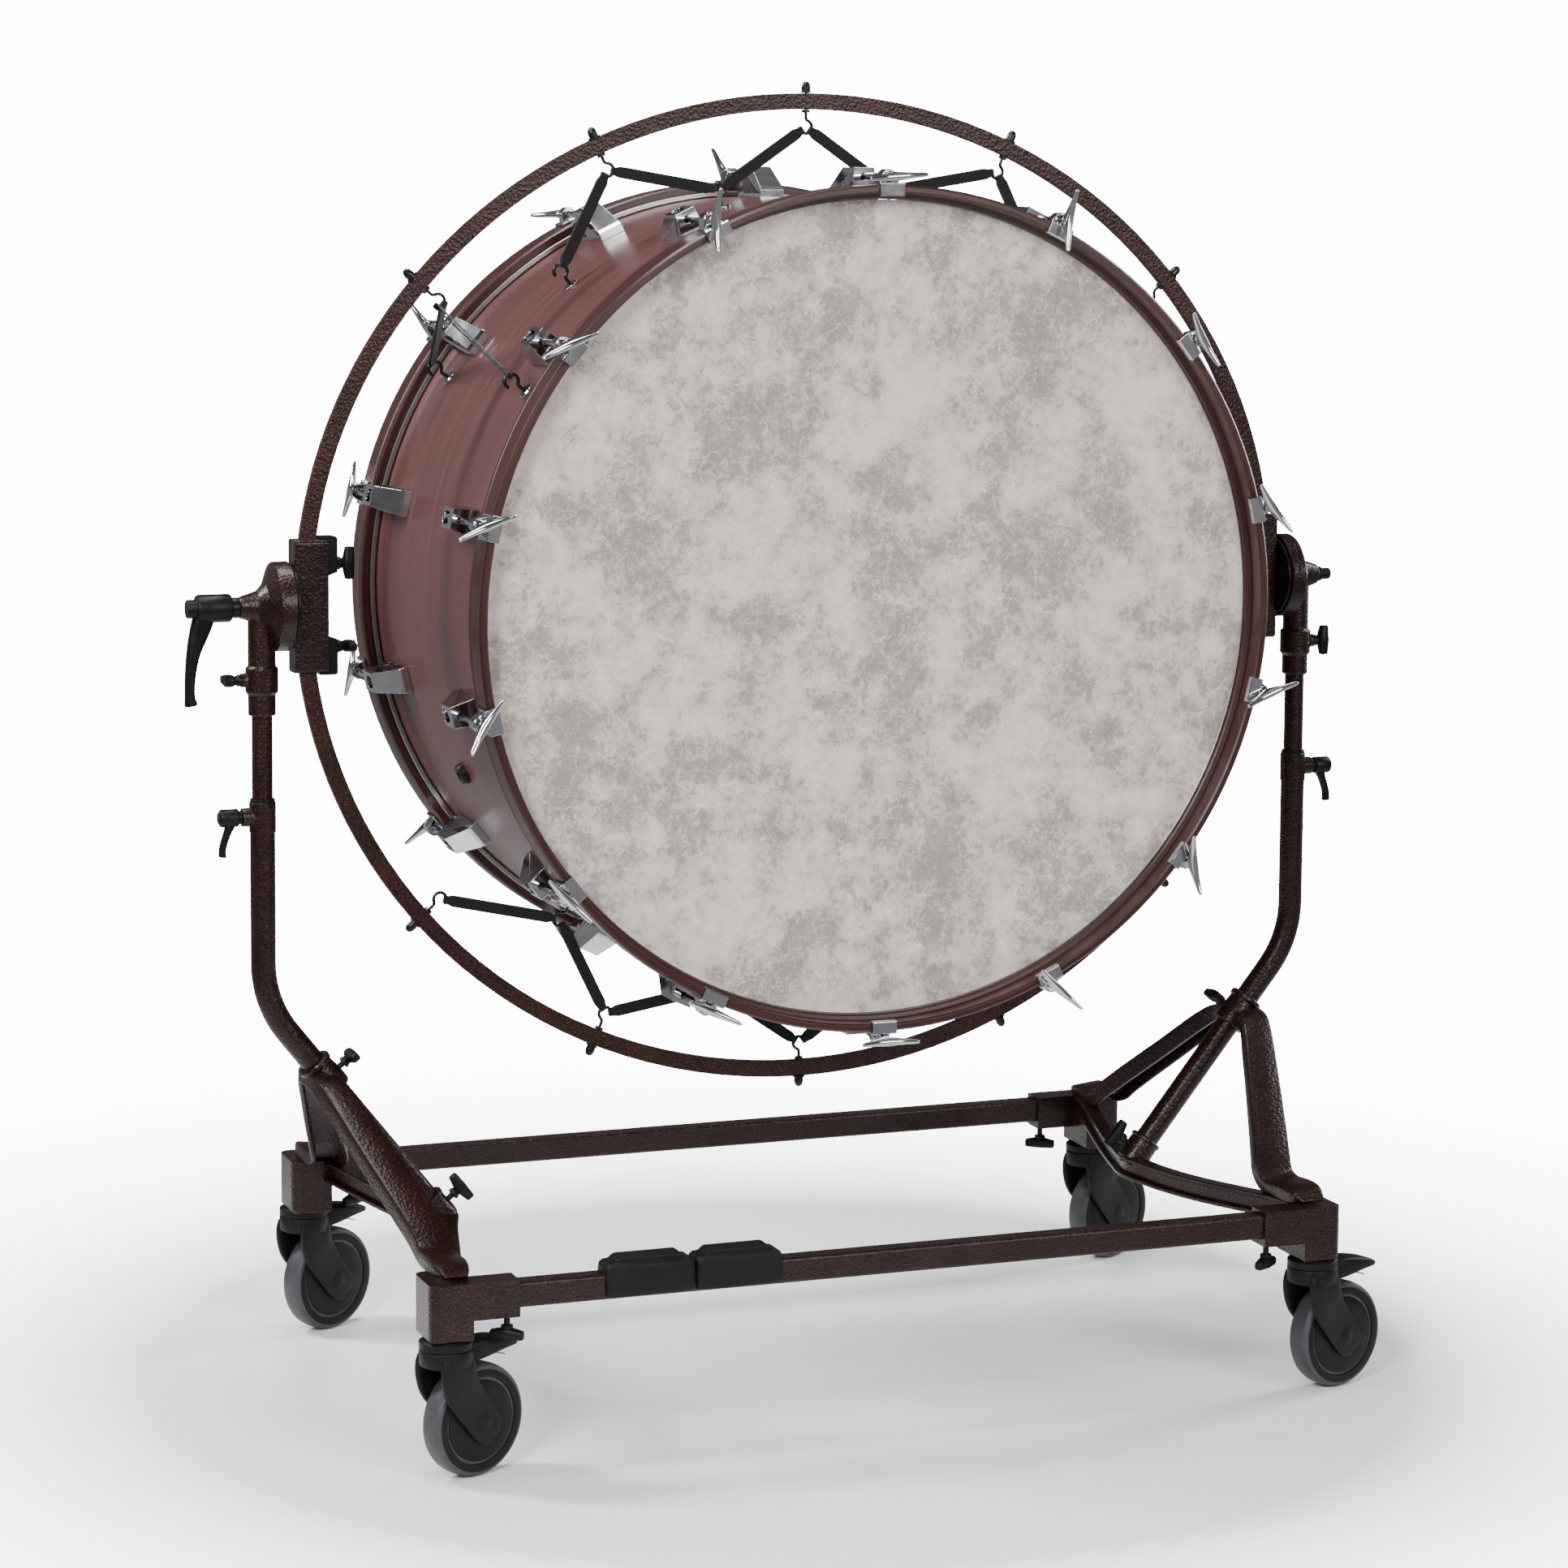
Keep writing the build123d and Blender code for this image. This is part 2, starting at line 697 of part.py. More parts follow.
def tilt_head():
    """Tilt head for the right column: dished housing, nose and stem in one casting."""
    with BuildPart() as casting:
        with BuildSketch(Plane.XY):
            with BuildLine():
                Polyline(
                    (618.3, AXLE_R + FIT),
                    (618.3, 49),
                    (619.8, 50.5),
                    (635.5, 50.5),
                    (637, 49.6),
                    (646, 27.5),
                    (653, 20),
                    (655, 18.2),
                    (674, 12.3),
                    (675, 11.3),
                    (675, AXLE_R + FIT),
                    close=True,
                )
            make_face()
        revolve(axis=Axis.X)
        with Locations((COLUMN_X, 0, -59)):
            Cylinder(15.5, 59, align=UP)
        with Locations((COLUMN_X, 0, -60)):
            Cylinder(INNER_TUBE_R + 0.1, 16.1, align=UP, mode=Mode.SUBTRACT)
        with Locations(Location((600, 0, 0), (0, 90, 0))):
            Cylinder(AXLE_R + FIT, 100, align=UP, mode=Mode.SUBTRACT)
    return Location(DRUM_CENTRE) * casting.part


with BuildPart() as tilt_head_right:
    add(tilt_head())

with BuildPart() as tilt_head_left:
    add(mirror(tilt_head_right.part, about=Plane.YZ))

# Clamp lever on the left: collar, hub and button in line with a swept flat arm.
with BuildPart() as tilt_lever:
    with BuildSketch(Plane.XY):
        with BuildLine():
            Polyline(
                (-675.3, 5 + FIT),
                (-675.3, 11.5),
                (-684, 11.5),
                (-684.5, 15),
                (-686, 16),
                (-722, 16),
                (-724, 14.5),
                (-724, 10.5),
                (-733.5, 10.5),
                (-735, 9),
                (-735, 0),
                (-710, 0),
                (-710, 5 + FIT),
                close=True,
            )
        make_face()
    revolve(axis=Axis.X)
    with BuildSketch(Plane.XZ):
        with BuildLine():
            inner_edge = Spline((-700, 4), (-711, -30), (-720, -62), (-722, -92), (-719, -106))
            foot = Polyline(inner_edge @ 1, (-724, -109), (-731, -108), (-733, -104))
            outer_edge = Spline(foot @ 1, (-734, -84), (-732, -52), (-722, 4))
            Line(outer_edge @ 1, inner_edge @ 0)
        make_face()
    extrude(amount=8.5, both=True)
    with Locations(Location((-670, 0, 0), (0, -90, 0))):
        Cylinder(5 + FIT, 40, align=UP, mode=Mode.SUBTRACT)
tilt_lever.part = Location(DRUM_CENTRE) * tilt_lever.part

# ================================================================= columns

with BuildPart() as inner_tubes:
    with Locations((COLUMN_X, 0, 615), (-COLUMN_X, 0, 615)):
        Cylinder(INNER_TUBE_R, 266, align=UP)
        Cylinder(INNER_TUBE_R - 2, 266, align=UP, mode=Mode.SUBTRACT)

with BuildPart() as collar_sockets:
    with BuildSketch(Plane.XZ):
        with BuildLine():
            Polyline(
                (INNER_TUBE_R + FIT, 803),
                (14.5, 803),
                (15.5, 804.5),
                (15.5, 826),
                (18.5, 830),
                (18.5, 856),
                (15.5, 859),
                (15.5, 865.9),
                (INNER_TUBE_R + FIT, 865.9),
                close=True,
            )
        make_face()
    revolve(axis=Axis.Z)
    with Locations(Location((0, 0, COLLAR_SCREW_Z), (0, 90, 0))):
        Cylinder(8, 24, align=UP)
        Cylinder(3.6, 30, align=UP, mode=Mode.SUBTRACT)
    Cylinder(INNER_TUBE_R + FIT, 2000, mode=Mode.SUBTRACT)
COLLAR_FORM = collar_sockets.part

with BuildPart() as collar_sockets:
    with Locations(*both_sides(Location((COLUMN_X, 0, 0)))):
        add(COLLAR_FORM)

COLLAR_SCREW = wing_screw(3.5, 16.0, 6.0, 10.0, 36.0)

with BuildPart() as collar_screws:
    for side, turn in ((1, 0), (-1, 90)):
        tip = Location((side * (COLUMN_X + INNER_TUBE_R + 0.1), 0, COLLAR_SCREW_Z), (0, 90 * side, 0))
        with Locations(tip * Location((0, 0, 0), (0, 0, turn))):
            add(COLLAR_SCREW)

SLOPE = Vector(-sin(radians(SLANT)), 0, -cos(radians(SLANT)))
CORNER = Vector(COLUMN_X, 0, BEND_Z)
TANGENT = BEND_R * (1 - cos(radians(SLANT))) / sin(radians(SLANT))
TUBE_END = CORNER + SLOPE * 346.0


def outer_tube():
    """Outer tube of the right column, bent in towards its casting, with a clamp boss."""
    with BuildPart() as tube:
        with BuildLine() as path:
            Line((COLUMN_X, 0, OUTER_TUBE_TOP), (COLUMN_X, 0, BEND_Z + TANGENT))
            TangentArc(
                (COLUMN_X, 0, BEND_Z + TANGENT),
                CORNER + SLOPE * TANGENT,
                tangent=(0, 0, -1),
            )
            Line(CORNER + SLOPE * TANGENT, TUBE_END)
        with BuildSketch(Plane(origin=(COLUMN_X, 0, OUTER_TUBE_TOP), z_dir=(0, 0, -1))):
            Circle(OUTER_TUBE_R)
        sweep(path=path.line)
        with Locations((COLUMN_X, 0, 671)):
            Cylinder(15.2, 33, align=UP)
        with Locations(Location((COLUMN_X, 0, LEVER_Z), (0, 90, 0))):
            Cylinder(10.5, 24, align=UP)
        with BuildSketch(Plane(origin=(COLUMN_X, 0, OUTER_TUBE_TOP), z_dir=(0, 0, -1))):
            Circle(OUTER_TUBE_R - 1.6)
        sweep(path=path.line, mode=Mode.SUBTRACT)
        with Locations(Location((COLUMN_X, 0, LEVER_Z), (0, 90, 0))):
            Cylinder(4 + FIT, 40, align=UP, mode=Mode.SUBTRACT)
    return tube.part


with BuildPart() as outer_tube_right:
    add(outer_tube())

with BuildPart() as outer_tube_left:
    add(mirror(outer_tube_right.part, about=Plane.YZ))

with BuildPart() as tube_bushes:
    for side in (-1, 1):
        with Locations((side * COLUMN_X, 0, 0)):
            with Locations((0, 0, 660)):
                Cylinder(12.55, OUTER_TUBE_TOP - 660 + 0.05, align=UP)
            with Locations((0, 0, OUTER_TUBE_TOP + 0.05)):
                Cylinder(OUTER_TUBE_R, 3, align=UP)
            Cylinder(INNER_TUBE_R + FIT, 2000, mode=Mode.SUBTRACT)
            with Locations(Location((0, 0, LEVER_Z), (0, 90 * side, 0))):
                Cylinder(4.3, 30, align=UP, mode=Mode.SUBTRACT)


def column_lever():
    """Clamp lever of the right column: threaded stud, hub and a hanging tapered arm."""
    with BuildPart() as lever:
        with Locations(Location((COLUMN_X + INNER_TUBE_R + 0.1, 0, LEVER_Z), (0, 90, 0))):
            Cylinder(4, 18, align=UP)
        with Locations(Location((673.3, 0, LEVER_Z), (0, 90, 0))):
            Cylinder(8, 5, align=UP)
        with Locations(Location((677, 0, LEVER_Z), (0, 90, 0))):
            Cylinder(10, 21, align=UP)
        with BuildSketch(Plane.XZ):
            with BuildLine():
                near = Spline((684, LEVER_Z), (687, 672), (691, 655), (692, 646))
                toe = ThreePointArc(near @ 1, (696, 643.6), (700, 646))
                far = Spline(toe @ 1, (701, 662), (698, LEVER_Z))
                Line(far @ 1, near @ 0)
            make_face()
        extrude(amount=6.5, both=True)
        lever_rim = lever.edges().filter_by(GeomType.CIRCLE).group_by(Axis.X)[-1]
        chamfer(lever_rim, 1)
    return lever.part


with BuildPart() as column_lever_right:
    add(column_lever())

with BuildPart() as column_lever_left:
    add(mirror(column_lever_right.part, about=Plane.YZ))

# ================================================================= base

UPPER_SOCKET, LOWER_SOCKET = [
    (COLUMN_X - (BEND_Z - z) * tan(radians(SLANT)), z) for z in (UPPER_SOCKET_Z, LOWER_SOCKET_Z)
]
SLOPE_UP = Vector(-cos(radians(SLANT)), 0, sin(radians(SLANT)))


def slant_plane(x, z, z_dir=None):
    """Plane across or beside the slanted tube through a point of its line."""
    return Plane(origin=(x, 0, z), x_dir=(0, 1, 0), z_dir=z_dir or SLOPE)


def section(centre, along, width, height):
    """Rectangular section of a leg, its width level with the tilt axis."""
    with BuildSketch(Plane(origin=centre, x_dir=(1, 0, 0.2), z_dir=along)) as face:
        Rectangle(width, height)
    return face.sketch


def leg(side):
    """One leg of the end casting: a tapered bar, hollowed on its inner side."""
    top = Vector(581, side * 38, 372)
    bottom = Vector(512, side * 224, 232)
    along = (bottom - top).normalized()
    with BuildPart() as bar:
        loft([section(top, along, 35, 22), section(bottom, along, 44, 22)])
    return bar.part


def leg_hollow(side):
    """Recess along a leg's inner side that leaves a six millimetre channel wall."""
    top = Vector(581, side * 38, 372)
    bottom = Vector(512, side * 224, 232)
    along = (bottom - top).normalized()
    inward = along.cross(Vector(1, 0, 0.2)).normalized() * side
    near = top + along * 26 + inward * 10
    far = top + along * 196 + inward * 10
    with BuildPart() as recess:
        loft([section(near, along, 23, 28), section(far, along, 31, 28)])
    return recess.part


LEGS = [leg(side) for side in (-1, 1)]
HOLLOWS = [leg_hollow(side) for side in (-1, 1)]

with BuildPart() as end_casting_right:
    for bar in LEGS:
        add(bar)
    # crown joining both legs round the upper socket
    with BuildSketch(Plane.YZ.offset(563)):
        with BuildLine():
            Polyline(
                (-52, 358),
                (-30, 390),
                (30, 390),
                (52, 358),
                (40, 346),
                (24, 366),
                (-24, 366),
                (-40, 346),
                close=True,
            )
        make_face()
    extrude(amount=34)
    with BuildSketch(slant_plane(*UPPER_SOCKET).offset(-16)):
        Circle(19)
    extrude(amount=32)
    with BuildSketch(slant_plane(*LOWER_SOCKET).offset(-17.5)):
        Circle(18)
    extrude(amount=35)
    for bar in HOLLOWS:
        add(bar, mode=Mode.SUBTRACT)
    # foot plates and the low link that runs between them through the lower socket
    for side in (-1, 1):
        with BuildSketch(Plane.XY.offset(SOCKET_TOP + 0.1)) as foot:
            with BuildLine():
                Polyline(
                    (490, side * 200),
                    (535, side * 200),
                    (538, side * 262),
                    (545, side * 288),
                    (542, side * 308),
                    (525, side * 318),
                    (506, side * 312),
                    (490, side * 292),
                    close=True,
                )
            make_face()
            fillet(foot.vertices(), 4)
        extrude(amount=13.5)
        loft(
            [
                outline(
                    Plane.XZ.offset(-side * 0),
                    ((434, 186), (450, 186), (450, 214), (434, 214)),
                ),
                outline(
                    Plane.XZ.offset(-side * 284),
                    ((486, SOCKET_TOP + 0.1), (500, SOCKET_TOP + 0.1), (500, 236), (486, 236)),
                ),
            ]
        )
    bore = Plane(origin=CORNER + SLOPE * 80, z_dir=SLOPE)
    with BuildSketch(bore):
        Circle(OUTER_TUBE_R + 0.1)
    extrude(amount=300, mode=Mode.SUBTRACT)
    for x, z in (UPPER_SOCKET, LOWER_SOCKET):
        with BuildSketch(Plane(origin=(x, 0, z), z_dir=SLOPE_UP)):
            Circle(3.6)
        extrude(amount=40, mode=Mode.SUBTRACT)

with BuildPart() as end_casting_left:
    add(mirror(end_casting_right.part, about=Plane.YZ))

SOCKET_SCREW = wing_screw(3.5, 14.0, 6.0, 9.0, 36.0)

with BuildPart() as socket_screws_right:
    for (x, z), turn in ((UPPER_SOCKET, 0), (LOWER_SOCKET, 90)):
        seat = Vector(x, 0, z) + SLOPE_UP * (OUTER_TUBE_R + 0.3)
        tip = Plane(origin=seat, x_dir=(0, 1, 0), z_dir=SLOPE_UP).location
        with Locations(tip * Location((0, 0, 0), (0, 0, turn))):
            add(SOCKET_SCREW)

with BuildPart() as socket_screws:
    add(socket_screws_right.part)
    add(mirror(socket_screws_right.part, about=Plane.YZ))

# One corner socket, for the rear right: bar sleeve, caster boss, bores for both.
with BuildPart() as corner_form:
    with BuildSketch(Plane.XY.offset(182)):
        with BuildLine():
            Polyline((449, 298), (505, 298), (505, 332), (449, 332), close=True)
        make_face()
    extrude(amount=SOCKET_TOP - 182)
    with BuildSketch(Plane.XY.offset(159)):
        with BuildLine():
            Polyline((501, 262), (549, 262), (549, 332), (501, 332), close=True)
        make_face()
    extrude(amount=SOCKET_TOP - 159)
    outer_edges = corner_form.edges().filter_by(Axis.Z).filter_by(lambda e: e.center().X > 540)
    fillet(outer_edges, 12)
    chamfer(corner_form.faces().sort_by(Axis.Z)[0].edges(), 2)
    with BuildSketch(Plane.YZ.offset(440)) as tunnel:
        with Locations(((BAR_Y[0] + BAR_Y[1]) / 2, (BAR_Z[0] + BAR_Z[1]) / 2)):
            RectangleRounded(BAR_Y[1] - BAR_Y[0] + 0.2, BAR_Z[1] - BAR_Z[0] + 0.2, 3.9)
    extrude(amount=65, mode=Mode.SUBTRACT)
    with Locations((STEM_X, STEM_Y, 150)):
        Cylinder(5.55, 60, align=UP, mode=Mode.SUBTRACT)
    with Locations((CORNER_SCREW_X, 315, 175)):
        Cylinder(3.6, 20, align=UP, mode=Mode.SUBTRACT)

CORNERS = (corner_form.part, mirror(corner_form.part, about=Plane.YZ))

with BuildPart() as corner_sockets:
    for piece in CORNERS:
        add(piece)
        add(mirror(piece, about=Plane.XZ))

with BuildPart() as crossbars:
    for side in (-1, 1):
        with BuildSketch(Plane.YZ.offset(-BAR_END)):
            with Locations((side * (BAR_Y[0] + BAR_Y[1]) / 2, (BAR_Z[0] + BAR_Z[1]) / 2)):
                RectangleRounded(BAR_Y[1] - BAR_Y[0], BAR_Z[1] - BAR_Z[0], 4)
                RectangleRounded(BAR_Y[1] - BAR_Y[0] - 5, BAR_Z[1] - BAR_Z[0] - 5, 2, mode=Mode.SUBTRACT)
        extrude(amount=2 * BAR_END)

with BuildPart() as foot_pads:
    for start, stop in PAD_SPANS:
        extrude(
            outline(
                Plane.YZ.offset(start),
                (
                    (-334, 192),
                    (-328.3, 192),
                    (-328.3, 219),
                    (-302.1, 219),
                    (-302.1, 192),
                    (-296.5, 192),
                    (-296.5, 228),
                    (-300.5, 232),
                    (-330, 232),
                    (-334, 228),
                ),
            ),
            amount=stop - start,
        )
        ribs = 8
        gap = (stop - start) / ribs
        for i in range(ribs):
            with Locations((start + gap * (i + 0.5), -315.2, 231)):
                Box(gap * 0.55, 28, 5.5, align=UP)

CORNER_SCREW = wing_screw(3.5, 24.0, 6.0, 6.0, 38.0)

with BuildPart() as corner_screws:
    for sx in (-1, 1):
        for sy in (-1, 1):
            tip = Location((sx * CORNER_SCREW_X, sy * 315, BAR_Z[0] - 0.1), (180, 0, 0))
            with Locations(tip * Location((0, 0, 0), (0, 0, 35 * sx * sy))):
                add(CORNER_SCREW)

# ================================================================= casters

with BuildPart() as caster_stems:
    for x, y, turn in CASTERS.values():
        with Locations((x, y, 0)):
            with Locations((0, 0, 158)):
                Cylinder(5.5, 50, align=UP)
            with Locations((0, 0, 149)):
                Cylinder(29.5, 7.5, align=UP)
            with Locations((0, 0, 156.5)):
                Cone(29.5, 26, 2.4, align=UP)
            with Locations((0, 0, 122)):
                Cylinder(5, 28, align=UP)


def caster_place(key):
    """Frame of a caster: origin on the floor under its stem, X along its trail."""
    x, y, turn = CASTERS[key]
    return Location((x, y, 0), (0, 0, turn))


# Fork: round housing over the wheel, raked arms and a fixed axle.
with BuildPart() as fork_form:
    with Locations((0, 0, 104)):
        Cylinder(HOUSING_R, 44.6, align=UP)
    chamfer(fork_form.edges().filter_by(GeomType.CIRCLE).sort_by(Axis.Z)[-1], 2)
    for side in (-1, 1):
        extrude(
            outline(
                Plane.XZ.offset(-side * 18.0),
                ((-22, 118), (24, 130), (34, 112), (49, 66), (46, 53), (34, 50), (26, 56), (-16, 104)),
            ),
            amount=-side * 4.5,
        )
    with Locations(Location((TRAIL, 0, WHEEL_R), (90, 0, 0))):
        Cylinder(WHEEL_R + 3.5, 35.6, mode=Mode.SUBTRACT)
        Cylinder(5, 48)
        with Locations((0, 0, 22.4), (0, 0, -22.4)):
            Cylinder(9, 3.4)
    with Locations((0, 0, 110)):
        Cylinder(5 + FIT, 60, align=UP, mode=Mode.SUBTRACT)
    with Locations((24, 0, 128)):
        Box(26, 24.4, 17.2, align=UP, mode=Mode.SUBTRACT)
    with Locations((-24, 0, 106)):
        Box(14, 22, 14, align=UP, mode=Mode.SUBTRACT)
    with Locations(Location((PEDAL_PIVOT[0], 0, PEDAL_PIVOT[1]), (90, 0, 0))):
        Cylinder(3 + FIT, 60, mode=Mode.SUBTRACT)

with BuildPart() as hub_form:
    with Locations(Location((TRAIL, 0, WHEEL_R), (90, 0, 0))):
        Cylinder(HUB_R, 26)
        for side in (-1, 1):
            with Locations((0, 0, side * 11.5)):
                Cylinder(HUB_R - 6, 3.2, mode=Mode.SUBTRACT)
                Cylinder(14, 3.2)
            with Locations((0, 0, side * 15)):
                Cylinder(12, 4.6)
        with PolarLocations(28, 6):
            Cylinder(4, 40, mode=Mode.SUBTRACT)
        Cylinder(5 + FIT, 60, mode=Mode.SUBTRACT)

with BuildPart() as tyre_form:
    with BuildSketch(Plane.XZ):
        with BuildLine():
            side_low = Line((HUB_R + 0.1, -13), (55, -15))
            shoulder = ThreePointArc(side_low @ 1, (60.4, -12.4), (WHEEL_R - 0.6, -8))
            tread = ThreePointArc(shoulder @ 1, (WHEEL_R, 0), (WHEEL_R - 0.6, 8))
            crown = ThreePointArc(tread @ 1, (60.4, 12.4), (55, 15))
            side_high = Line(crown @ 1, (HUB_R + 0.1, 13))
            Line(side_high @ 1, side_low @ 0)
        make_face()
    revolve(axis=Axis.Z)
TYRE = Location((TRAIL, 0, WHEEL_R), (90, 0, 0)) * tyre_form.part

# Brake pedal: a domed cover hinged in the housing, with a small tread tab.
with BuildPart() as pedal_form:
    with BuildSketch(Plane.XZ):
        with BuildLine():
            crest = Spline((30, 145), (50, 149), (74, 146), (92, 139))
            nose = ThreePointArc(crest @ 1, (93.4, 136), (91, 133.5))
            belly = Spline(nose @ 1, (70, 138), (50, 140), (31, 136))
            Line(belly @ 1, crest @ 0)
        make_face()
    extrude(amount=18, both=True)
    extrude(
        outline(
            Plane.XY.offset(120),
            (
                (28, -11.5),
                (36, -11.5),
                (50, -17.5),
                (80, -17.5),
                (96, -11),
                (96, 11),
                (80, 17.5),
                (50, 17.5),
                (36, 11.5),
                (28, 11.5),
            ),
        ),
        amount=40,
        mode=Mode.INTERSECT,
    )
    with Locations(Location((PEDAL_PIVOT[0], 0, PEDAL_PIVOT[1]), (90, 0, 0))):
        Cylinder(6, 23)
        Cylinder(3, 33)
    extrude(
        outline(Plane.XZ, ((24, 134), (34, 137), (34, 145), (24, 143.9))),
        amount=11.5,
        both=True,
    )

casters = {}
for key in CASTERS:
    place = caster_place(key)
    with BuildPart() as caster_fork:
        add(place * fork_form.part)
    with BuildPart() as wheel_hub:
        add(place * hub_form.part)
    with BuildPart() as tyre:
        add(place * TYRE)
    with BuildPart() as brake_pedal:
        add(place * pedal_form.part)
    casters[f"caster_fork_{key}"] = caster_fork
    casters[f"wheel_hub_{key}"] = wheel_hub
    casters[f"tyre_{key}"] = tyre
    casters[f"brake_pedal_{key}"] = brake_pedal

# ================================================================= output

NODES = {
    "shell": shell,
    "front_head": front_head,
    "rear_head": rear_head,
    "flesh_hoops": flesh_hoops,
    "front_hoop": front_hoop,
    "rear_hoop": rear_hoop,
    "lugs": lugs,
    "lug_screws": lug_screws,
    "swivel_nuts": swivel_nuts,
    "claws": claws,
    "tension_rods": tension_rods,
    "vent_grommet": vent_grommet,
    "shell_hooks": shell_hooks,
    "shell_hook_bases": shell_hook_bases,
    "ring": ring,
    "ring_hooks": ring_hooks,
    "hook_nuts": hook_nuts,
    "straps": straps,
    "ring_clamp_blocks": ring_clamp_blocks,
    "clamp_lugs": clamp_lugs,
    "clamp_screws": clamp_screws,
    "tilt_discs": tilt_discs,
    "tilt_axles": tilt_axles,
    "axle_end_nut": axle_end_nut,
    "tilt_head_left": tilt_head_left,
    "tilt_head_right": tilt_head_right,
    "tilt_lever": tilt_lever,
    "inner_tubes": inner_tubes,
    "collar_sockets": collar_sockets,
    "collar_screws": collar_screws,
    "outer_tube_left": outer_tube_left,
    "outer_tube_right": outer_tube_right,
    "tube_bushes": tube_bushes,
    "column_lever_left": column_lever_left,
    "column_lever_right": column_lever_right,
    "end_casting_left": end_casting_left,
    "end_casting_right": end_casting_right,
    "corner_sockets": corner_sockets,
    "crossbars": crossbars,
    "foot_pads": foot_pads,
    "socket_screws": socket_screws,
    "corner_screws": corner_screws,
    "caster_stems": caster_stems,
}
NODES.update(casters)

# Everything above is laid out from the drum's centre line; the files put the middle of the
# whole footprint at the origin, so every node moves by the same amount.
TO_FOOTPRINT = Location((17.0, -14.0, 0.0))

for node, piece in NODES.items():
    placed = piece.part.moved(TO_FOOTPRINT)
    placed.label = node
    export_step(placed, f"parts/{node}.step")
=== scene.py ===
import json
from math import atan2, copysign, cos, hypot, pi, radians, sin, sqrt, tan

import bpy
from mathutils import Matrix, Vector


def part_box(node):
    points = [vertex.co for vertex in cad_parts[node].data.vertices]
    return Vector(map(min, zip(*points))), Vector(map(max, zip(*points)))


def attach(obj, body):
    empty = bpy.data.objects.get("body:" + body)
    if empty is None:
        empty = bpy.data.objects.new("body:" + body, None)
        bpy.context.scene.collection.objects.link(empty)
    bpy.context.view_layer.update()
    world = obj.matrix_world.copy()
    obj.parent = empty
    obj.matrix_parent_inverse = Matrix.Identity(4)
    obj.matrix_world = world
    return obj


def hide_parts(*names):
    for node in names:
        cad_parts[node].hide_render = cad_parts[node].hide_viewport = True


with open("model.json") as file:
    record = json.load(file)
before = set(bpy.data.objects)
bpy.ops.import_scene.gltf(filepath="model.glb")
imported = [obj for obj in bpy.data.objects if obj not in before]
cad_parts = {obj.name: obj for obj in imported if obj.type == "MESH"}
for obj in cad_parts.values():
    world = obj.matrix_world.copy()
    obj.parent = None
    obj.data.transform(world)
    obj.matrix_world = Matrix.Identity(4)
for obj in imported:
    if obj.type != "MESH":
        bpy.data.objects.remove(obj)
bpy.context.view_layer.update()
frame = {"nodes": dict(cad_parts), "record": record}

NODES = frame["nodes"]
MM = 0.001
# The row's origin is the middle of the footprint; the sizes below start at the drum's centre.
DRUM = (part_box("front_hoop")[0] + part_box("rear_hoop")[1]) / 2
DRUM.z = 0.0

# ---------------------------------------------------------------- sizes, mm, as in the CAD
AXIS_Z = 925.0
SHELL_R = 457.0
PITCH = 360 / 14
ROD_R = 483.0
FRONT_HANDLES = (4, 81, -61, -53, 22, -82, -43, 0, -25, -45, 58, 21, 23, 88)
REAR_HANDLES = (70, 15, -38, 84, 40, -12, 62, -70, 8, 33, -55, 76, -20, 48)
COLUMN_X = 649.0
SLANT = radians(38.5)
STEM_X = 525.0
STEM_Y = 306.0
CASTERS = {
    "fl": (-STEM_X, -STEM_Y, 24.0),
    "fr": (STEM_X, -STEM_Y, 17.0),
    "rl": (-STEM_X, STEM_Y, 28.0),
    "rr": (STEM_X, STEM_Y, 22.0),
}
TRAIL = 38.0
WHEEL_R = 62.5


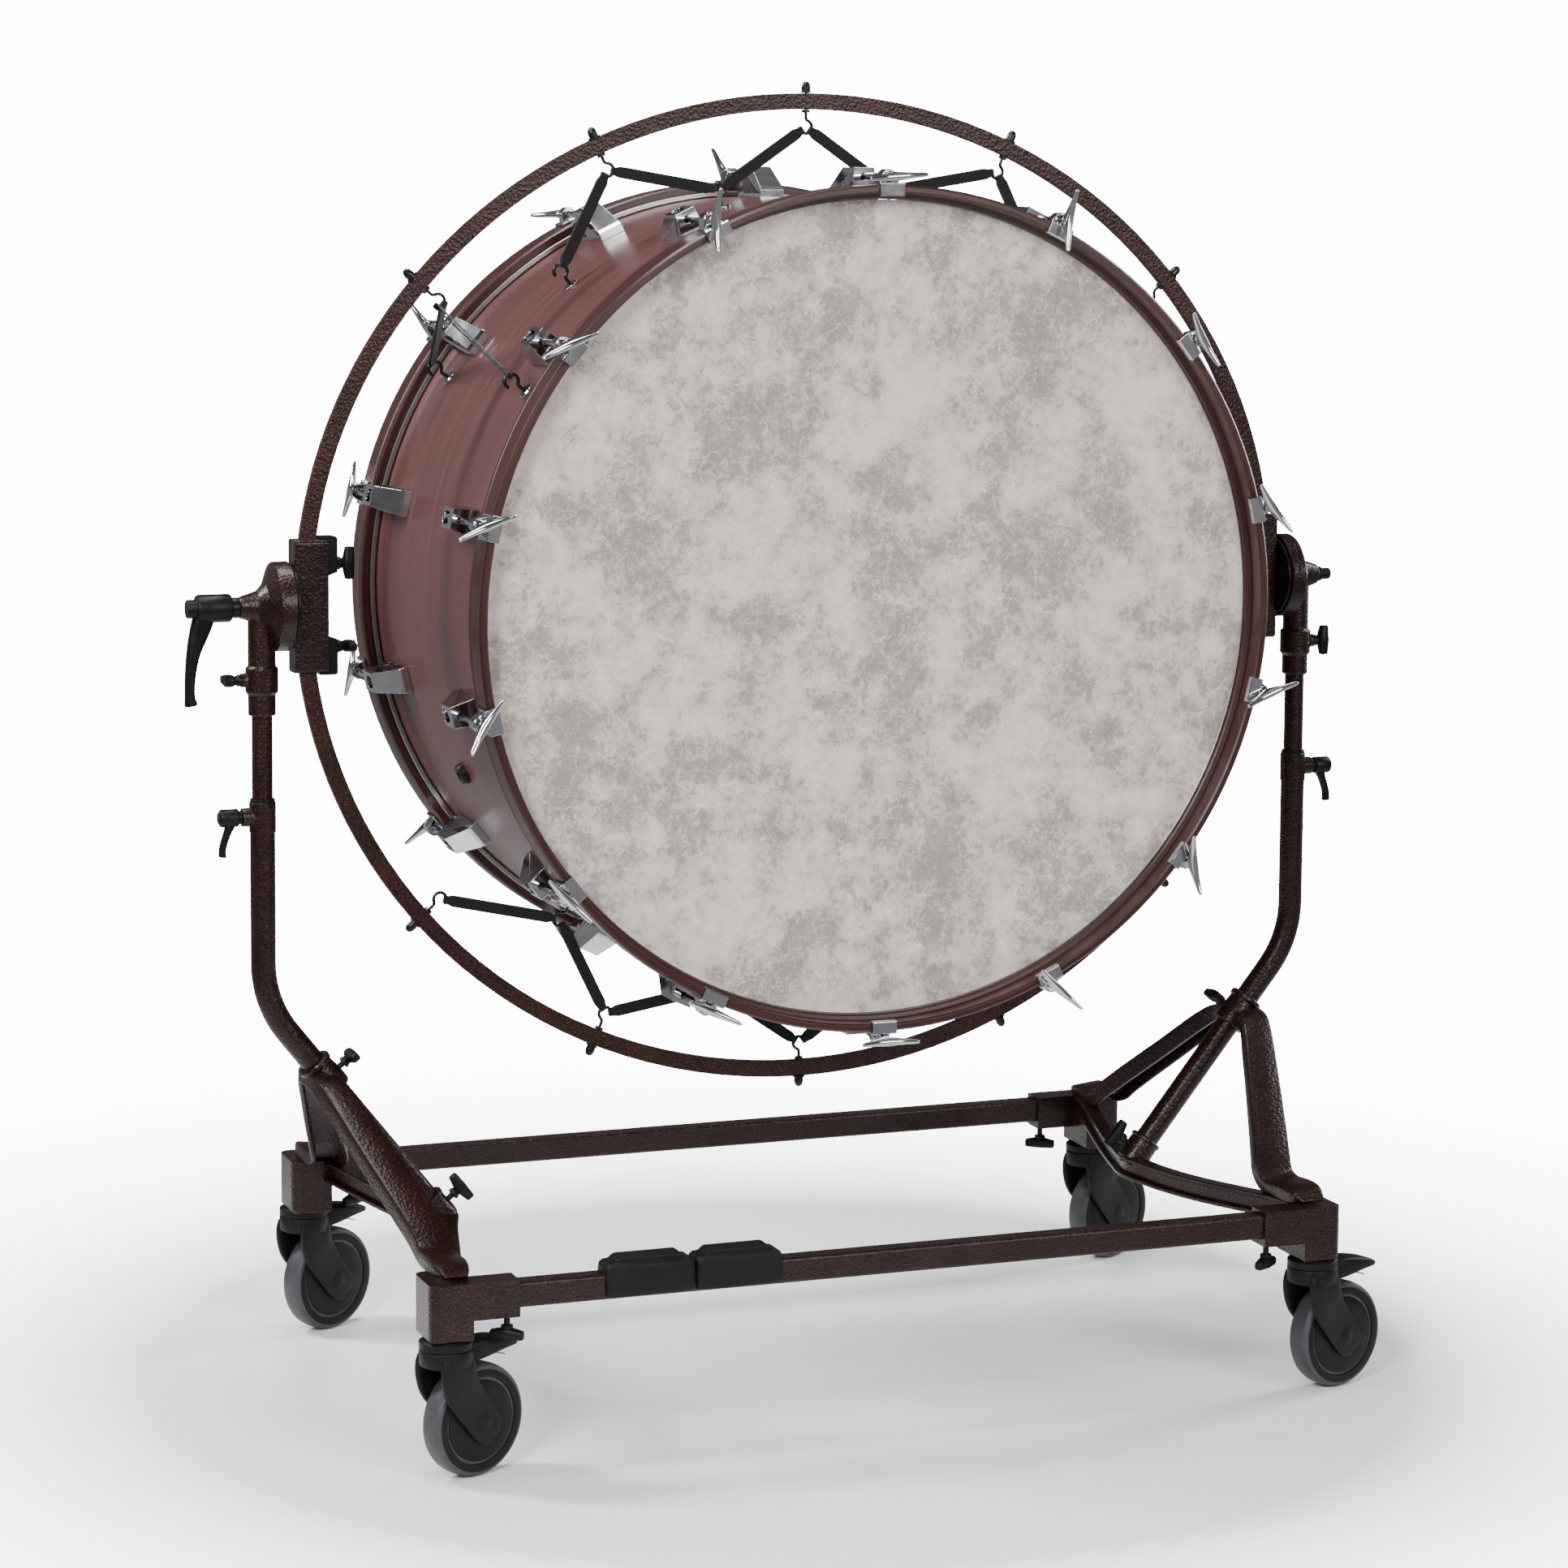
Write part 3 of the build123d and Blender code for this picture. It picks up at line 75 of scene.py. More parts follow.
# ================================================================ materials
class Graph:
    """A material and short ways to add nodes to it."""

    def __init__(self, name):
        self.mat = bpy.data.materials.new(name)
        self.mat.use_nodes = True
        self.tree = self.mat.node_tree
        self.shader = self.tree.nodes["Principled BSDF"]
        self.coord = self.node("ShaderNodeTexCoord")

    def node(self, kind, inputs=None, **props):
        n = self.tree.nodes.new(kind)
        for key, value in props.items():
            setattr(n, key, value)
        for key, value in (inputs or {}).items():
            if hasattr(value, "links"):
                self.tree.links.new(value, n.inputs[key])
            else:
                n.inputs[key].default_value = value
        return n

    def math(self, op, a, b=0.0):
        return self.node("ShaderNodeMath", {0: a, 1: b}, operation=op).outputs[0]

    def noise(self, vector, scale, detail=4.0, rough=0.5, distort=0.0, kind="FBM"):
        n = self.node("ShaderNodeTexNoise", noise_type=kind)
        self.tree.links.new(vector, n.inputs["Vector"])
        n.inputs["Scale"].default_value = scale
        n.inputs["Detail"].default_value = detail
        n.inputs["Roughness"].default_value = rough
        n.inputs["Distortion"].default_value = distort
        return n.outputs[0]

    def cells(self, vector, scale, feature="F1", smooth=0.5):
        n = self.node("ShaderNodeTexVoronoi", feature=feature)
        self.tree.links.new(vector, n.inputs["Vector"])
        n.inputs["Scale"].default_value = scale
        if feature == "SMOOTH_F1":
            n.inputs["Smoothness"].default_value = smooth
        return n.outputs["Distance"]

    def ramp(self, factor, *stops):
        n = self.node("ShaderNodeValToRGB", {0: factor})
        ramp = n.color_ramp
        while len(ramp.elements) < len(stops):
            ramp.elements.new(0.5)
        for element, (place, colour) in zip(ramp.elements, stops):
            element.position = place
            element.color = (*colour, 1) if len(colour) == 3 else colour
        return n.outputs[0]

    def grey(self, factor, low, high, bottom=0.0, top=1.0):
        n = self.node("ShaderNodeMapRange", {0: factor, 1: low, 2: high, 3: bottom, 4: top})
        return n.outputs[0]

    def mix(self, factor, a, b, blend="MIX"):
        n = self.node("ShaderNodeMix", data_type="RGBA", blend_type=blend)
        for key, value in ((0, factor), (6, a), (7, b)):
            if hasattr(value, "links"):
                self.tree.links.new(value, n.inputs[key])
            elif key == 0:
                n.inputs[key].default_value = value
            else:
                n.inputs[key].default_value = (*value, 1)
        return n.outputs[2]

    def stretch(self, vector, x, y, z):
        n = self.node("ShaderNodeMapping", {"Vector": vector})
        n.inputs["Scale"].default_value = (x, y, z)
        return n.outputs[0]

    def bump(self, height, distance, strength=1.0, normal=None):
        n = self.node("ShaderNodeBump", {"Height": height, "Distance": distance, "Strength": strength})
        if normal is not None:
            self.tree.links.new(normal, n.inputs["Normal"])
        return n.outputs[0]

    def edge(self, radius):
        n = self.node("ShaderNodeBevel", samples=4)
        n.inputs["Radius"].default_value = radius
        return n.outputs[0]

    def finish(self, **values):
        names = {
            "color": "Base Color",
            "rough": "Roughness",
            "metal": "Metallic",
            "normal": "Normal",
            "coat": "Coat Weight",
            "coat_rough": "Coat Roughness",
            "spec": "Specular IOR Level",
            "sheen": "Sheen Weight",
            "sheen_rough": "Sheen Roughness",
            "aniso": "Anisotropic",
        }
        for key, value in values.items():
            socket = self.shader.inputs[names[key]]
            if hasattr(value, "links"):
                self.tree.links.new(value, socket)
            elif key == "color":
                socket.default_value = (*value, 1)
            else:
                socket.default_value = value
        return self.mat


def wrapped(g):
    """Coordinates wrapped round the drum: along the rim, across it, outwards (metres)."""
    centred = g.node("ShaderNodeMapping", {"Vector": g.coord.outputs["Object"]})
    centred.inputs["Location"].default_value = -DRUM
    parts = g.node("ShaderNodeSeparateXYZ", {0: centred.outputs[0]})
    x = parts.outputs[0]
    y = parts.outputs[1]
    z = g.math("SUBTRACT", parts.outputs[2], AXIS_Z * MM)
    angle = g.math("ARCTAN2", x, z)
    reach = g.math("SQRT", g.math("ADD", g.math("MULTIPLY", x, x), g.math("MULTIPLY", z, z)))
    joined = g.node("ShaderNodeCombineXYZ")
    for i, value in enumerate((g.math("MULTIPLY", angle, SHELL_R * MM), y, reach)):
        g.tree.links.new(value, joined.inputs[i])
    return joined.outputs[0]


def hammered(name="hammered_paint_look", lift=1.0):
    g = Graph(name)
    here = g.coord.outputs["Object"]
    dimples = g.cells(here, 300, "SMOOTH_F1", 0.6)
    fine = g.noise(here, 620, 3, 0.6)
    flecks = g.ramp(
        fine,
        (0.36, (0.0050 * lift, 0.0018 * lift, 0.0016 * lift)),
        (0.53, (0.0130 * lift, 0.0042 * lift, 0.0034 * lift)),
        (0.66, (0.0420 * lift, 0.0115 * lift, 0.0075 * lift)),
        (0.78, (0.1400 * lift, 0.0420 * lift, 0.0270 * lift)),
    )
    cloud = g.grey(g.noise(here, 22, 3), 0.35, 0.7, 0.75, 1.2)
    shade = g.node("ShaderNodeCombineColor", {0: cloud, 1: cloud, 2: cloud})
    colour = g.mix(1.0, flecks, shade.outputs[0], "MULTIPLY")
    soft = g.bump(g.math("ADD", dimples, g.math("MULTIPLY", fine, 0.35)), 0.0011, 0.55, g.edge(0.0011))
    rough = g.grey(fine, 0.3, 0.7, 0.24, 0.40)
    return g.finish(color=colour, rough=rough, normal=soft, coat=0.10, coat_rough=0.08, spec=0.24)


def shell_wood():
    g = Graph("shell_wood_look")
    v = wrapped(g)
    streak = g.noise(g.stretch(v, 5, 420, 60), 1.0, 5, 0.6)
    pores = g.noise(g.stretch(v, 26, 1500, 300), 1.0, 2, 0.5)
    broad = g.noise(g.stretch(v, 2.2, 16, 2), 1.0, 4, 0.55)
    base = g.ramp(
        streak,
        (0.28, (0.046, 0.0125, 0.0115)),
        (0.50, (0.078, 0.0215, 0.0200)),
        (0.72, (0.112, 0.0340, 0.0310)),
    )
    toned = g.mix(g.grey(broad, 0.35, 0.68, 0.0, 0.55), base, (0.048, 0.0125, 0.0115))
    dark = g.mix(g.grey(pores, 0.60, 0.74, 0.0, 0.45), toned, (0.035, 0.012, 0.010))
    n = g.bump(pores, 0.00025, 0.35)
    rough = g.grey(streak, 0.3, 0.7, 0.36, 0.48)
    return g.finish(color=dark, rough=rough, normal=n, coat=0.35, coat_rough=0.17, spec=0.42)


def hoop_wood():
    g = Graph("hoop_wood_look")
    v = wrapped(g)
    streak = g.noise(g.stretch(v, 7, 520, 520), 1.0, 5, 0.62)
    long = g.noise(g.stretch(v, 1.6, 90, 90), 1.0, 4, 0.6)
    base = g.ramp(
        streak,
        (0.30, (0.016, 0.0028, 0.0022)),
        (0.50, (0.034, 0.0058, 0.0042)),
        (0.70, (0.064, 0.0125, 0.0085)),
    )
    toned = g.mix(g.grey(long, 0.38, 0.66, 0.0, 0.6), base, (0.018, 0.0032, 0.0026))
    n = g.bump(streak, 0.0003, 0.3, g.edge(0.0012))
    return g.finish(color=toned, rough=0.36, normal=n, coat=0.22, coat_rough=0.2, spec=0.4)


def head_film():
    g = Graph("head_film_look")
    here = g.coord.outputs["Object"]
    flat = g.stretch(here, 1, 0.0, 1)
    cloud = g.noise(flat, 7.5, 12, 0.70, 0.15)
    patch = g.noise(flat, 24, 12, 0.78, 0.3)
    fuzz = g.noise(flat, 130, 8, 0.8, 0.3)
    veins = g.noise(flat, 21, 9, 0.75, 0.55, "RIDGED_MULTIFRACTAL")
    hairs = g.noise(flat, 55, 8, 0.8, 0.7, "RIDGED_MULTIFRACTAL")
    field = g.math("ADD", g.math("MULTIPLY", cloud, 0.58), g.math("MULTIPLY", patch, 0.42))
    rough_edge = g.math("ADD", field, g.math("MULTIPLY", g.math("SUBTRACT", fuzz, 0.5), 0.22))
    base = g.ramp(
        rough_edge,
        (0.42, (0.290, 0.250, 0.222)),
        (0.470, (0.360, 0.312, 0.280)),
        (0.500, (0.560, 0.480, 0.445)),
        (0.57, (0.740, 0.640, 0.605)),
    )
    mottled = g.mix(g.grey(fuzz, 0.46, 0.66, 0.0, 0.35), base, (0.470, 0.398, 0.358))
    light = g.mix(g.grey(veins, 0.66, 1.05, 0.0, 0.62), mottled, (0.800, 0.700, 0.662))
    haired = g.mix(g.grey(hairs, 0.80, 1.15, 0.0, 0.66), light, (0.830, 0.740, 0.705))
    bend = g.node("ShaderNodeVectorMath", {0: flat}, operation="ADD")
    swirl = g.node("ShaderNodeTexNoise", {"Vector": flat, "Scale": 26.0, "Detail": 6.0, "Roughness": 0.7})
    push = g.node("ShaderNodeVectorMath", {0: swirl.outputs[1]}, operation="SCALE")
    push.inputs["Scale"].default_value = 0.05
    g.tree.links.new(push.outputs[0], bend.inputs[1])
    lines = haired
    for scale, width, start, weight in (
        (22, 0.020, 0.44, 0.75),
        (48, 0.028, 0.42, 0.70),
        (95, 0.040, 0.46, 0.55),
    ):
        web = g.grey(g.cells(bend.outputs[0], scale, "DISTANCE_TO_EDGE"), 0.0, width, 1.0, 0.0)
        spread = g.grey(g.noise(flat, scale * 0.55, 5, 0.7), start, start + 0.14, 0.0, weight)
        lines = g.mix(g.math("MULTIPLY", web, spread), lines, (0.880, 0.800, 0.770))
    n = g.bump(fuzz, 0.0003, 0.25)
    return g.finish(color=lines, rough=0.56, normal=n, spec=0.3, coat=0.05, coat_rough=0.4)


def chrome(name="chrome_look", rough=0.07, edge=0.0009):
    g = Graph(name)
    here = g.coord.outputs["Object"]
    smear = g.noise(here, 60, 3)
    n = g.bump(g.noise(here, 900, 2), 0.00004, 0.25, g.edge(edge))
    tint = g.ramp(smear, (0.3, (0.52, 0.52, 0.545)), (0.7, (0.62, 0.62, 0.64)))
    return g.finish(color=tint, metal=1.0, rough=g.grey(smear, 0.3, 0.7, rough, rough + 0.06), normal=n)


def channel_metal():
    g = Graph("channel_metal_look")
    v = wrapped(g)
    brushed = g.noise(g.stretch(v, 6, 2600, 2600), 1.0, 3, 0.6)
    tint = g.ramp(brushed, (0.3, (0.24, 0.235, 0.22)), (0.7, (0.38, 0.375, 0.36)))
    n = g.bump(brushed, 0.00008, 0.4)
    return g.finish(color=tint, metal=1.0, rough=g.grey(brushed, 0.3, 0.7, 0.26, 0.40), normal=n)


def plastic(name, colour, rough, grain=700, depth=0.00012, edge=0.0009, coat=0.0):
    g = Graph(name)
    here = g.coord.outputs["Object"]
    skin_noise = g.noise(here, grain, 3, 0.6)
    wear = g.noise(here, 38, 5, 0.6)
    low = tuple(c * 0.82 for c in colour)
    high = tuple(min(1.0, c * 1.28 + 0.001) for c in colour)
    tint = g.ramp(wear, (0.32, low), (0.68, high))
    n = g.bump(skin_noise, depth, 0.5, g.edge(edge))
    ends = g.grey(wear, 0.3, 0.7, rough - 0.05, rough + 0.07)
    return g.finish(color=tint, rough=ends, normal=n, coat=coat, coat_rough=0.2, spec=0.16)


def tyre_look():
    g = Graph("tyre_look")
    here = g.coord.outputs["Object"]
    wear = g.noise(here, 45, 5, 0.65)
    scuffs = g.noise(here, 260, 4, 0.7)
    tint = g.ramp(wear, (0.3, (0.026, 0.027, 0.030)), (0.7, (0.046, 0.048, 0.054)))
    dusty = g.mix(g.grey(scuffs, 0.58, 0.75, 0.0, 0.35), tint, (0.075, 0.074, 0.072))
    n = g.bump(scuffs, 0.00012, 0.4, g.edge(0.0012))
    return g.finish(color=dusty, rough=0.5, normal=n, spec=0.4)


def webbing_look():
    g = Graph("webbing_look")
    uv = g.coord.outputs["UV"]
    ribs = g.node("ShaderNodeTexWave", wave_type="BANDS", bands_direction="X")
    g.tree.links.new(uv, ribs.inputs["Vector"])
    ribs.inputs["Scale"].default_value = 260
    ribs.inputs["Distortion"].default_value = 0.6
    cross = g.node("ShaderNodeTexWave", wave_type="BANDS", bands_direction="Y")
    g.tree.links.new(uv, cross.inputs["Vector"])
    cross.inputs["Scale"].default_value = 330
    cross.inputs["Distortion"].default_value = 0.6
    weave = g.math("MULTIPLY", ribs.outputs[1], cross.outputs[1])
    lint = g.noise(g.coord.outputs["Object"], 420, 4, 0.7)
    tint = g.ramp(weave, (0.1, (0.0025, 0.0025, 0.0028)), (0.8, (0.0105, 0.0105, 0.0115)))
    worn = g.mix(g.grey(lint, 0.55, 0.75, 0.0, 0.4), tint, (0.018, 0.018, 0.019))
    n = g.bump(weave, 0.0004, 0.7)
    return g.finish(color=worn, rough=0.86, normal=n, sheen=0.25, sheen_rough=0.5, spec=0.25)


HAMMERED = hammered()
RING_PAINT = hammered("ring_paint_look", 2.1)
SHELL_WOOD = shell_wood()
HOOP_WOOD = hoop_wood()
HEAD = head_film()
CHROME = chrome()
CHANNEL = channel_metal()
STEEL = chrome("steel_look", 0.24)
BLACK_STEEL = plastic("black_steel_look", (0.006, 0.006, 0.0065), 0.28, 900, 0.00006, 0.0004, 0.3)
BLACK = plastic("black_plastic_look", (0.0050, 0.0050, 0.0054), 0.38)
RUBBER = plastic("pad_rubber_look", (0.0052, 0.0052, 0.0056), 0.50, 520, 0.0002, 0.0014)
CASTER = plastic("caster_plastic_look", (0.0052, 0.0052, 0.0062), 0.46, 620, 0.00016, 0.0012)
TYRE = tyre_look()
WEBBING = webbing_look()

LOOKS = {
    "shell_wood": SHELL_WOOD,
    "hoop_wood": HOOP_WOOD,
    "head_film": HEAD,
    "channel_metal": CHANNEL,
    "chrome_plate": CHROME,
    "nut_brass": CHROME,
    "black_steel": BLACK_STEEL,
    "webbing": WEBBING,
    "hammered_paint": HAMMERED,
    "black_plastic": BLACK,
    "steel": STEEL,
    "bush_plastic": BLACK,
    "pad_rubber": RUBBER,
    "caster_plastic": CASTER,
    "tyre_rubber": TYRE,
}
for entry in frame["record"]["subparts"]:
    for material_slot in NODES[entry["node"]].material_slots:
        material_slot.material = LOOKS[entry["material_slot"]]
for material_slot in NODES["ring"].material_slots:
    material_slot.material = RING_PAINT


# ================================================================ mesh helpers
def V(*p):
    return Vector(p)


def solid(name, verts, faces, look, body, uvs=None, sharp=38):
    """A mesh object from millimetre coordinates, riding on a body."""
    mesh = bpy.data.meshes.new(name)
    mesh.from_pydata([Vector(v) * MM + DRUM for v in verts], [], faces)
    mesh.validate()
    if uvs:
        layer = mesh.uv_layers.new(name="UVMap")
        for loop in mesh.loops:
            layer.data[loop.index].uv = uvs[loop.vertex_index]
    mesh.shade_smooth()
    mesh.set_sharp_from_angle(angle=radians(sharp))
    mesh.materials.append(look)
    piece = bpy.data.objects.new(name, mesh)
    bpy.context.scene.collection.objects.link(piece)
    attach(piece, body)
    return piece


def rows(table, per=4):
    """Smooth rows between the given ones (Catmull-Rom)."""
    out = []
    n = len(table)
    for i in range(n - 1):
        p0, p1, p2, p3 = (table[max(0, min(n - 1, j))] for j in (i - 1, i, i + 1, i + 2))
        for k in range(per):
            t = k / per
            out.append(
                tuple(
                    0.5
                    * (
                        2 * b
                        + (c - a) * t
                        + (2 * a - 5 * b + 4 * c - d) * t**2
                        + (3 * b - a - 3 * c + d) * t**3
                    )
                    for a, b, c, d in zip(p0, p1, p2, p3)
                )
            )
    out.append(tuple(table[-1]))
    return out


def oval(centre, u, v, a, b, power=2.0, n=20):
    """Ring of points on a superellipse."""
    ring = []
    for i in range(n):
        t = 2 * pi * (i + 0.5) / n
        c = cos(t)
        s = sin(t)
        ring.append(
            centre
            + u * (a * copysign(abs(c) ** (2 / power), c))
            + v * (b * copysign(abs(s) ** (2 / power), s))
        )
    return ring


def skin(rings, cap=True):
    """Quads between successive rings, with the ends closed."""
    n = len(rings[0])
    verts = [p for ring in rings for p in ring]
    faces = []
    for i in range(len(rings) - 1):
        for j in range(n):
            k = (j + 1) % n
            faces.append((i * n + j, i * n + k, (i + 1) * n + k, (i + 1) * n + j))
    if cap:
        faces.append(tuple(reversed(range(n))))
        faces.append(tuple(range((len(rings) - 1) * n, len(rings) * n)))
    return verts, faces


def spun(profile, n=32, axis="Z"):
    """Lathe a list of (radius, height) about an axis."""
    rings = []
    for r, h in profile:
        ring = []
        for i in range(n):
            t = 2 * pi * i / n
            a, b = max(r, 1e-4) * cos(t), max(r, 1e-4) * sin(t)
            ring.append({"Z": V(a, b, h), "Y": V(b, h, a), "X": V(h, a, b)}[axis])
        rings.append(ring)
    return skin(rings)


def join(*pairs):
    verts, faces = [], []
    for v, f in pairs:
        base = len(verts)
        verts += v
        faces += [tuple(i + base for i in face) for face in f]
    return verts, faces


def moved(pair, matrix):
    verts, faces = pair
    out = [matrix @ Vector(v) for v in verts]
    if matrix.determinant() < 0:
        faces = [tuple(reversed(f)) for f in faces]
    return out, faces


def copies(pair, matrices):
    return join(*[moved(pair, m) for m in matrices])


def turn(axis, degrees_):
    return Matrix.Rotation(radians(degrees_), 4, axis)


def shift(x, y, z):
    return Matrix.Translation((x, y, z))


def station(angle, rear=False):
    m = shift(0, 0, AXIS_Z) @ turn("Y", angle)
    return m @ turn("Z", 180) if rear else m


MIRROR = Matrix.Scale(-1, 4, (1, 0, 0))
STATIONS = [station(PITCH * i) for i in range(14)] + [station(PITCH * i, True) for i in range(14)]

# ================================================================ tension hardware
handle_rows = [
    (-34.6, -284.8, 1.1, 1.2),
    (-33.4, -284.3, 2.0, 2.1),
    (-28.0, -282.2, 2.7, 2.8),
    (-20.0, -279.2, 3.9, 3.4),
    (-13.0, -276.4, 5.6, 4.1),
    (-7.0, -274.0, 7.6, 4.8),
    (0.0, -272.6, 8.8, 5.3),
]
handle_rows += [(-x, y, a, b) for x, y, a, b in reversed(handle_rows[:-1])]
handle = skin(
    [oval(V(x, y, 0), V(0, 1, 0), V(0, 0, 1), a, b, 2.3, 16) for x, y, a, b in rows(handle_rows, 3)]
)
stem = spun(
    [(0, -255.9), (6.0, -255.9), (6.6, -257.2), (6.4, -261), (5.6, -265), (5.2, -270), (0, -276)],
    24,
    "Y",
)
thread = [(0, -150)]
for i in range(22):
    thread += [(4.0, -150.5 - i * 1.25), (3.55, -151.1 - i * 1.25)]
thread += [(4.0, -178.2), (4.0, -256.5), (0, -256.5)]
rod = spun(thread, 16, "Y")
tee = []
for frames, turns in ((STATIONS[:14], FRONT_HANDLES), (STATIONS[14:], REAR_HANDLES)):
    for i, angle in enumerate(turns):
        seat = frames[i] @ shift(0, 0, ROD_R)
        tee.append(moved(join(rod, stem), seat))
        tee.append(moved(handle, seat @ turn("Y", -(angle + PITCH * i))))
rods = solid("t_rods", *join(*tee), CHROME, "tilt_frame", sharp=50)
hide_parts("tension_rods")

# Pleated fans on both cheeks of every lug.
fan_verts, fan_faces = [], []
for side in (-1, 1):
    base = len(fan_verts)

    def cheek(v, z, out):
        return V(side * (15 - 3 * (z - 462) / 31 + out), -v, z)

    fan_verts.append(cheek(176, 488.5, 0.1))
    feet = 11
    for k in range(feet):
        v = 112 + (171 - 112) * k / (feet - 1)
        fan_verts.append(cheek(v, 461.2, 1.25 if k % 2 else 0.06))
    for k in range(feet - 1):
        tri = (base, base + 1 + k, base + 2 + k)
        fan_faces.append(tri if side > 0 else tri[::-1])
fans = solid("lug_fans", *copies((fan_verts, fan_faces), STATIONS), CHROME, "tilt_frame", sharp=5)


# ================================================================ knobs and levers
def knob(shaft_r, shaft, hub_r, hub, span):
    """Black T knob on +Z: shaft, waisted hub and two blunt wings in the XZ plane."""
    top = shaft + hub
    body = spun(
        [
            (0, 0),
            (shaft_r, 0),
            (shaft_r, shaft - 4),
            (hub_r * 1.12, shaft - 3.4),
            (hub_r * 1.15, shaft),
            (hub_r * 0.95, shaft + 1.4),
            (hub_r * 0.86, shaft + hub * 0.6),
            (hub_r * 0.8, top + 4),
            (hub_r * 0.55, top + 7.5),
            (0, top + 8),
        ],
        24,
    )
    h = span / 2
    table = [
        (-h, top + 2.4, 3.0, 2.6),
        (-h + 0.8, top + 2.4, 4.8, 4.6),
        (-h + 5, top + 2.2, 5.6, 5.4),
        (-h * 0.45, top + 1.6, 6.2, 6.2),
        (0, top + 1.2, 7.0, 7.2),
    ]
    table += [(-x, z, a, b) for x, z, a, b in reversed(table[:-1])]
    wings = skin([oval(V(x, 0, z), V(0, 0, 1), V(0, 1, 0), a, b, 3.2, 16) for x, z, a, b in rows(table, 3)])
    return join(body, wings)


def knob_set(name, pair, places, body, node):
    piece = solid(name, *copies(pair, places), BLACK, body, sharp=42)
    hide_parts(node)


clamp_places = []
for side in (-1, 1):
    for up, spin in ((1, 0), (-1, 90)):
        seat = shift(side * 589.0, 0, AXIS_Z + up * 47)
        clamp_places.append(seat @ turn("Y", -90 * side) @ turn("Z", spin))
knob_set("clamp_knobs", knob(4.0, 30.0, 6.5, 9.0, 37.0), clamp_places, "tilt_frame", "clamp_screws")

collar_places = []
for side, spin in ((1, 0), (-1, 90)):
    collar_places.append(shift(side * 660.75, 0, 843) @ turn("Y", 90 * side) @ turn("Z", spin))
knob_set("collar_knobs", knob(3.5, 16.0, 6.0, 9.0, 36.0), collar_places, "height_carriage", "collar_screws")

SLOPE_UP = Vector((-cos(SLANT), 0, sin(SLANT)))


def on_slant(z):
    return V(COLUMN_X - (475 - z) * tan(SLANT), 0, z)


socket_places = []
for z, spin in ((384.0, 90), (221.0, 0)):
    seat = on_slant(z) + SLOPE_UP * 14.5
    tip = Matrix.Translation(seat) @ turn("Y", -(90 - 38.5)) @ turn("Z", spin)
    socket_places += [tip, MIRROR @ tip]
knob_set("socket_knobs", knob(3.5, 14.0, 6.0, 8.0, 36.0), socket_places, "base", "socket_screws")

corner_places = []
for sx in (-1, 1):
    for sy in (-1, 1):
        corner_places.append(shift(sx * 459, sy * 315, 190.3) @ turn("X", 180) @ turn("Z", 35 * sx * sy))
knob_set("corner_knobs", knob(3.5, 24.0, 6.0, 5.0, 38.0), corner_places, "base", "corner_screws")

# Tilt lever: hub with a button and a long swept arm that flattens to a small foot.
arm_table = [
    (-712, 2, 10.5, 9.0, 0.0),
    (-716, -14, 12.0, 9.0, 0.25),
    (-722, -32, 10.4, 8.4, 0.4),
    (-727, -50, 7.8, 7.9, 0.25),
    (-730, -70, 6.2, 7.4, 0.12),
    (-731.2, -88, 5.5, 7.2, 0.03),
    (-731.0, -100, 5.8, 7.2, -0.06),
    (-730.0, -106.5, 7.2, 7.2, -0.15),
    (-729.8, -108.8, 6.4, 6.4, -0.15),
]
arm = skin(
    [
        oval(V(x, 0, AXIS_Z + z), V(cos(t), 0, -sin(t)), V(0, 1, 0), a, b, 2.8, 20)
        for x, z, a, b, t in rows(arm_table, 4)
    ]
)
lever_hub = moved(
    spun(
        [
            (5.05, 675.3),
            (11.2, 675.3),
            (11.6, 676.2),
            (11.6, 683.8),
            (14.6, 684.4),
            (16.0, 686.5),
            (16.0, 720.5),
            (14.8, 723.4),
            (11.0, 724.2),
            (10.6, 725.0),
            (10.6, 732.8),
            (9.6, 734.6),
            (0, 734.9),
        ],
        40,
        "X",
    ),
    shift(0, 0, AXIS_Z) @ turn("Z", 180),
)
tilt_lever = solid("tilt_lever_arm", *join(lever_hub, arm), BLACK, "tilt_lever", sharp=40)
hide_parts("tilt_lever")


def column_lever():
    hub = spun(
        [
            (4, 660.8), (4, 673.3), (7.6, 673.4), (7.6, 677), (9.6, 677.2), (10.2, 678.4),
            (10.2, 696.6), (9.2, 698.2), (6.4, 699.0), (6.0, 700.2), (0, 700.4),
        ],
        28,
        "X",
    )
    table = [
        (684, 0, 6.0, 6.4, 0.0),
        (687, -11, 6.4, 6.2, -0.3),
        (691.5, -22, 5.2, 5.8, -0.35),
        (694.6, -32, 4.2, 5.4, -0.1),
        (695.6, -40, 4.0, 5.2, 0.0),
        (695.2, -43.4, 4.4, 5.2, 0.1),
        (695.0, -44.3, 3.6, 4.4, 0.1),
    ]
    swung = skin(
        [
            oval(V(x, 0, z), V(cos(t), 0, sin(t)), V(0, 1, 0), a, b, 2.8, 18)
            for x, z, a, b, t in rows(table, 4)
        ]
    )
    return moved(join(hub, swung), shift(0, 0, 688))


for side, matrix in (("right", Matrix.Identity(4)), ("left", MIRROR)):
    lever = moved(column_lever(), matrix)
    piece = solid(f"height_lever_{side}", *lever, BLACK, f"column_lever_{side}", sharp=42)
    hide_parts(f"column_lever_{side}")


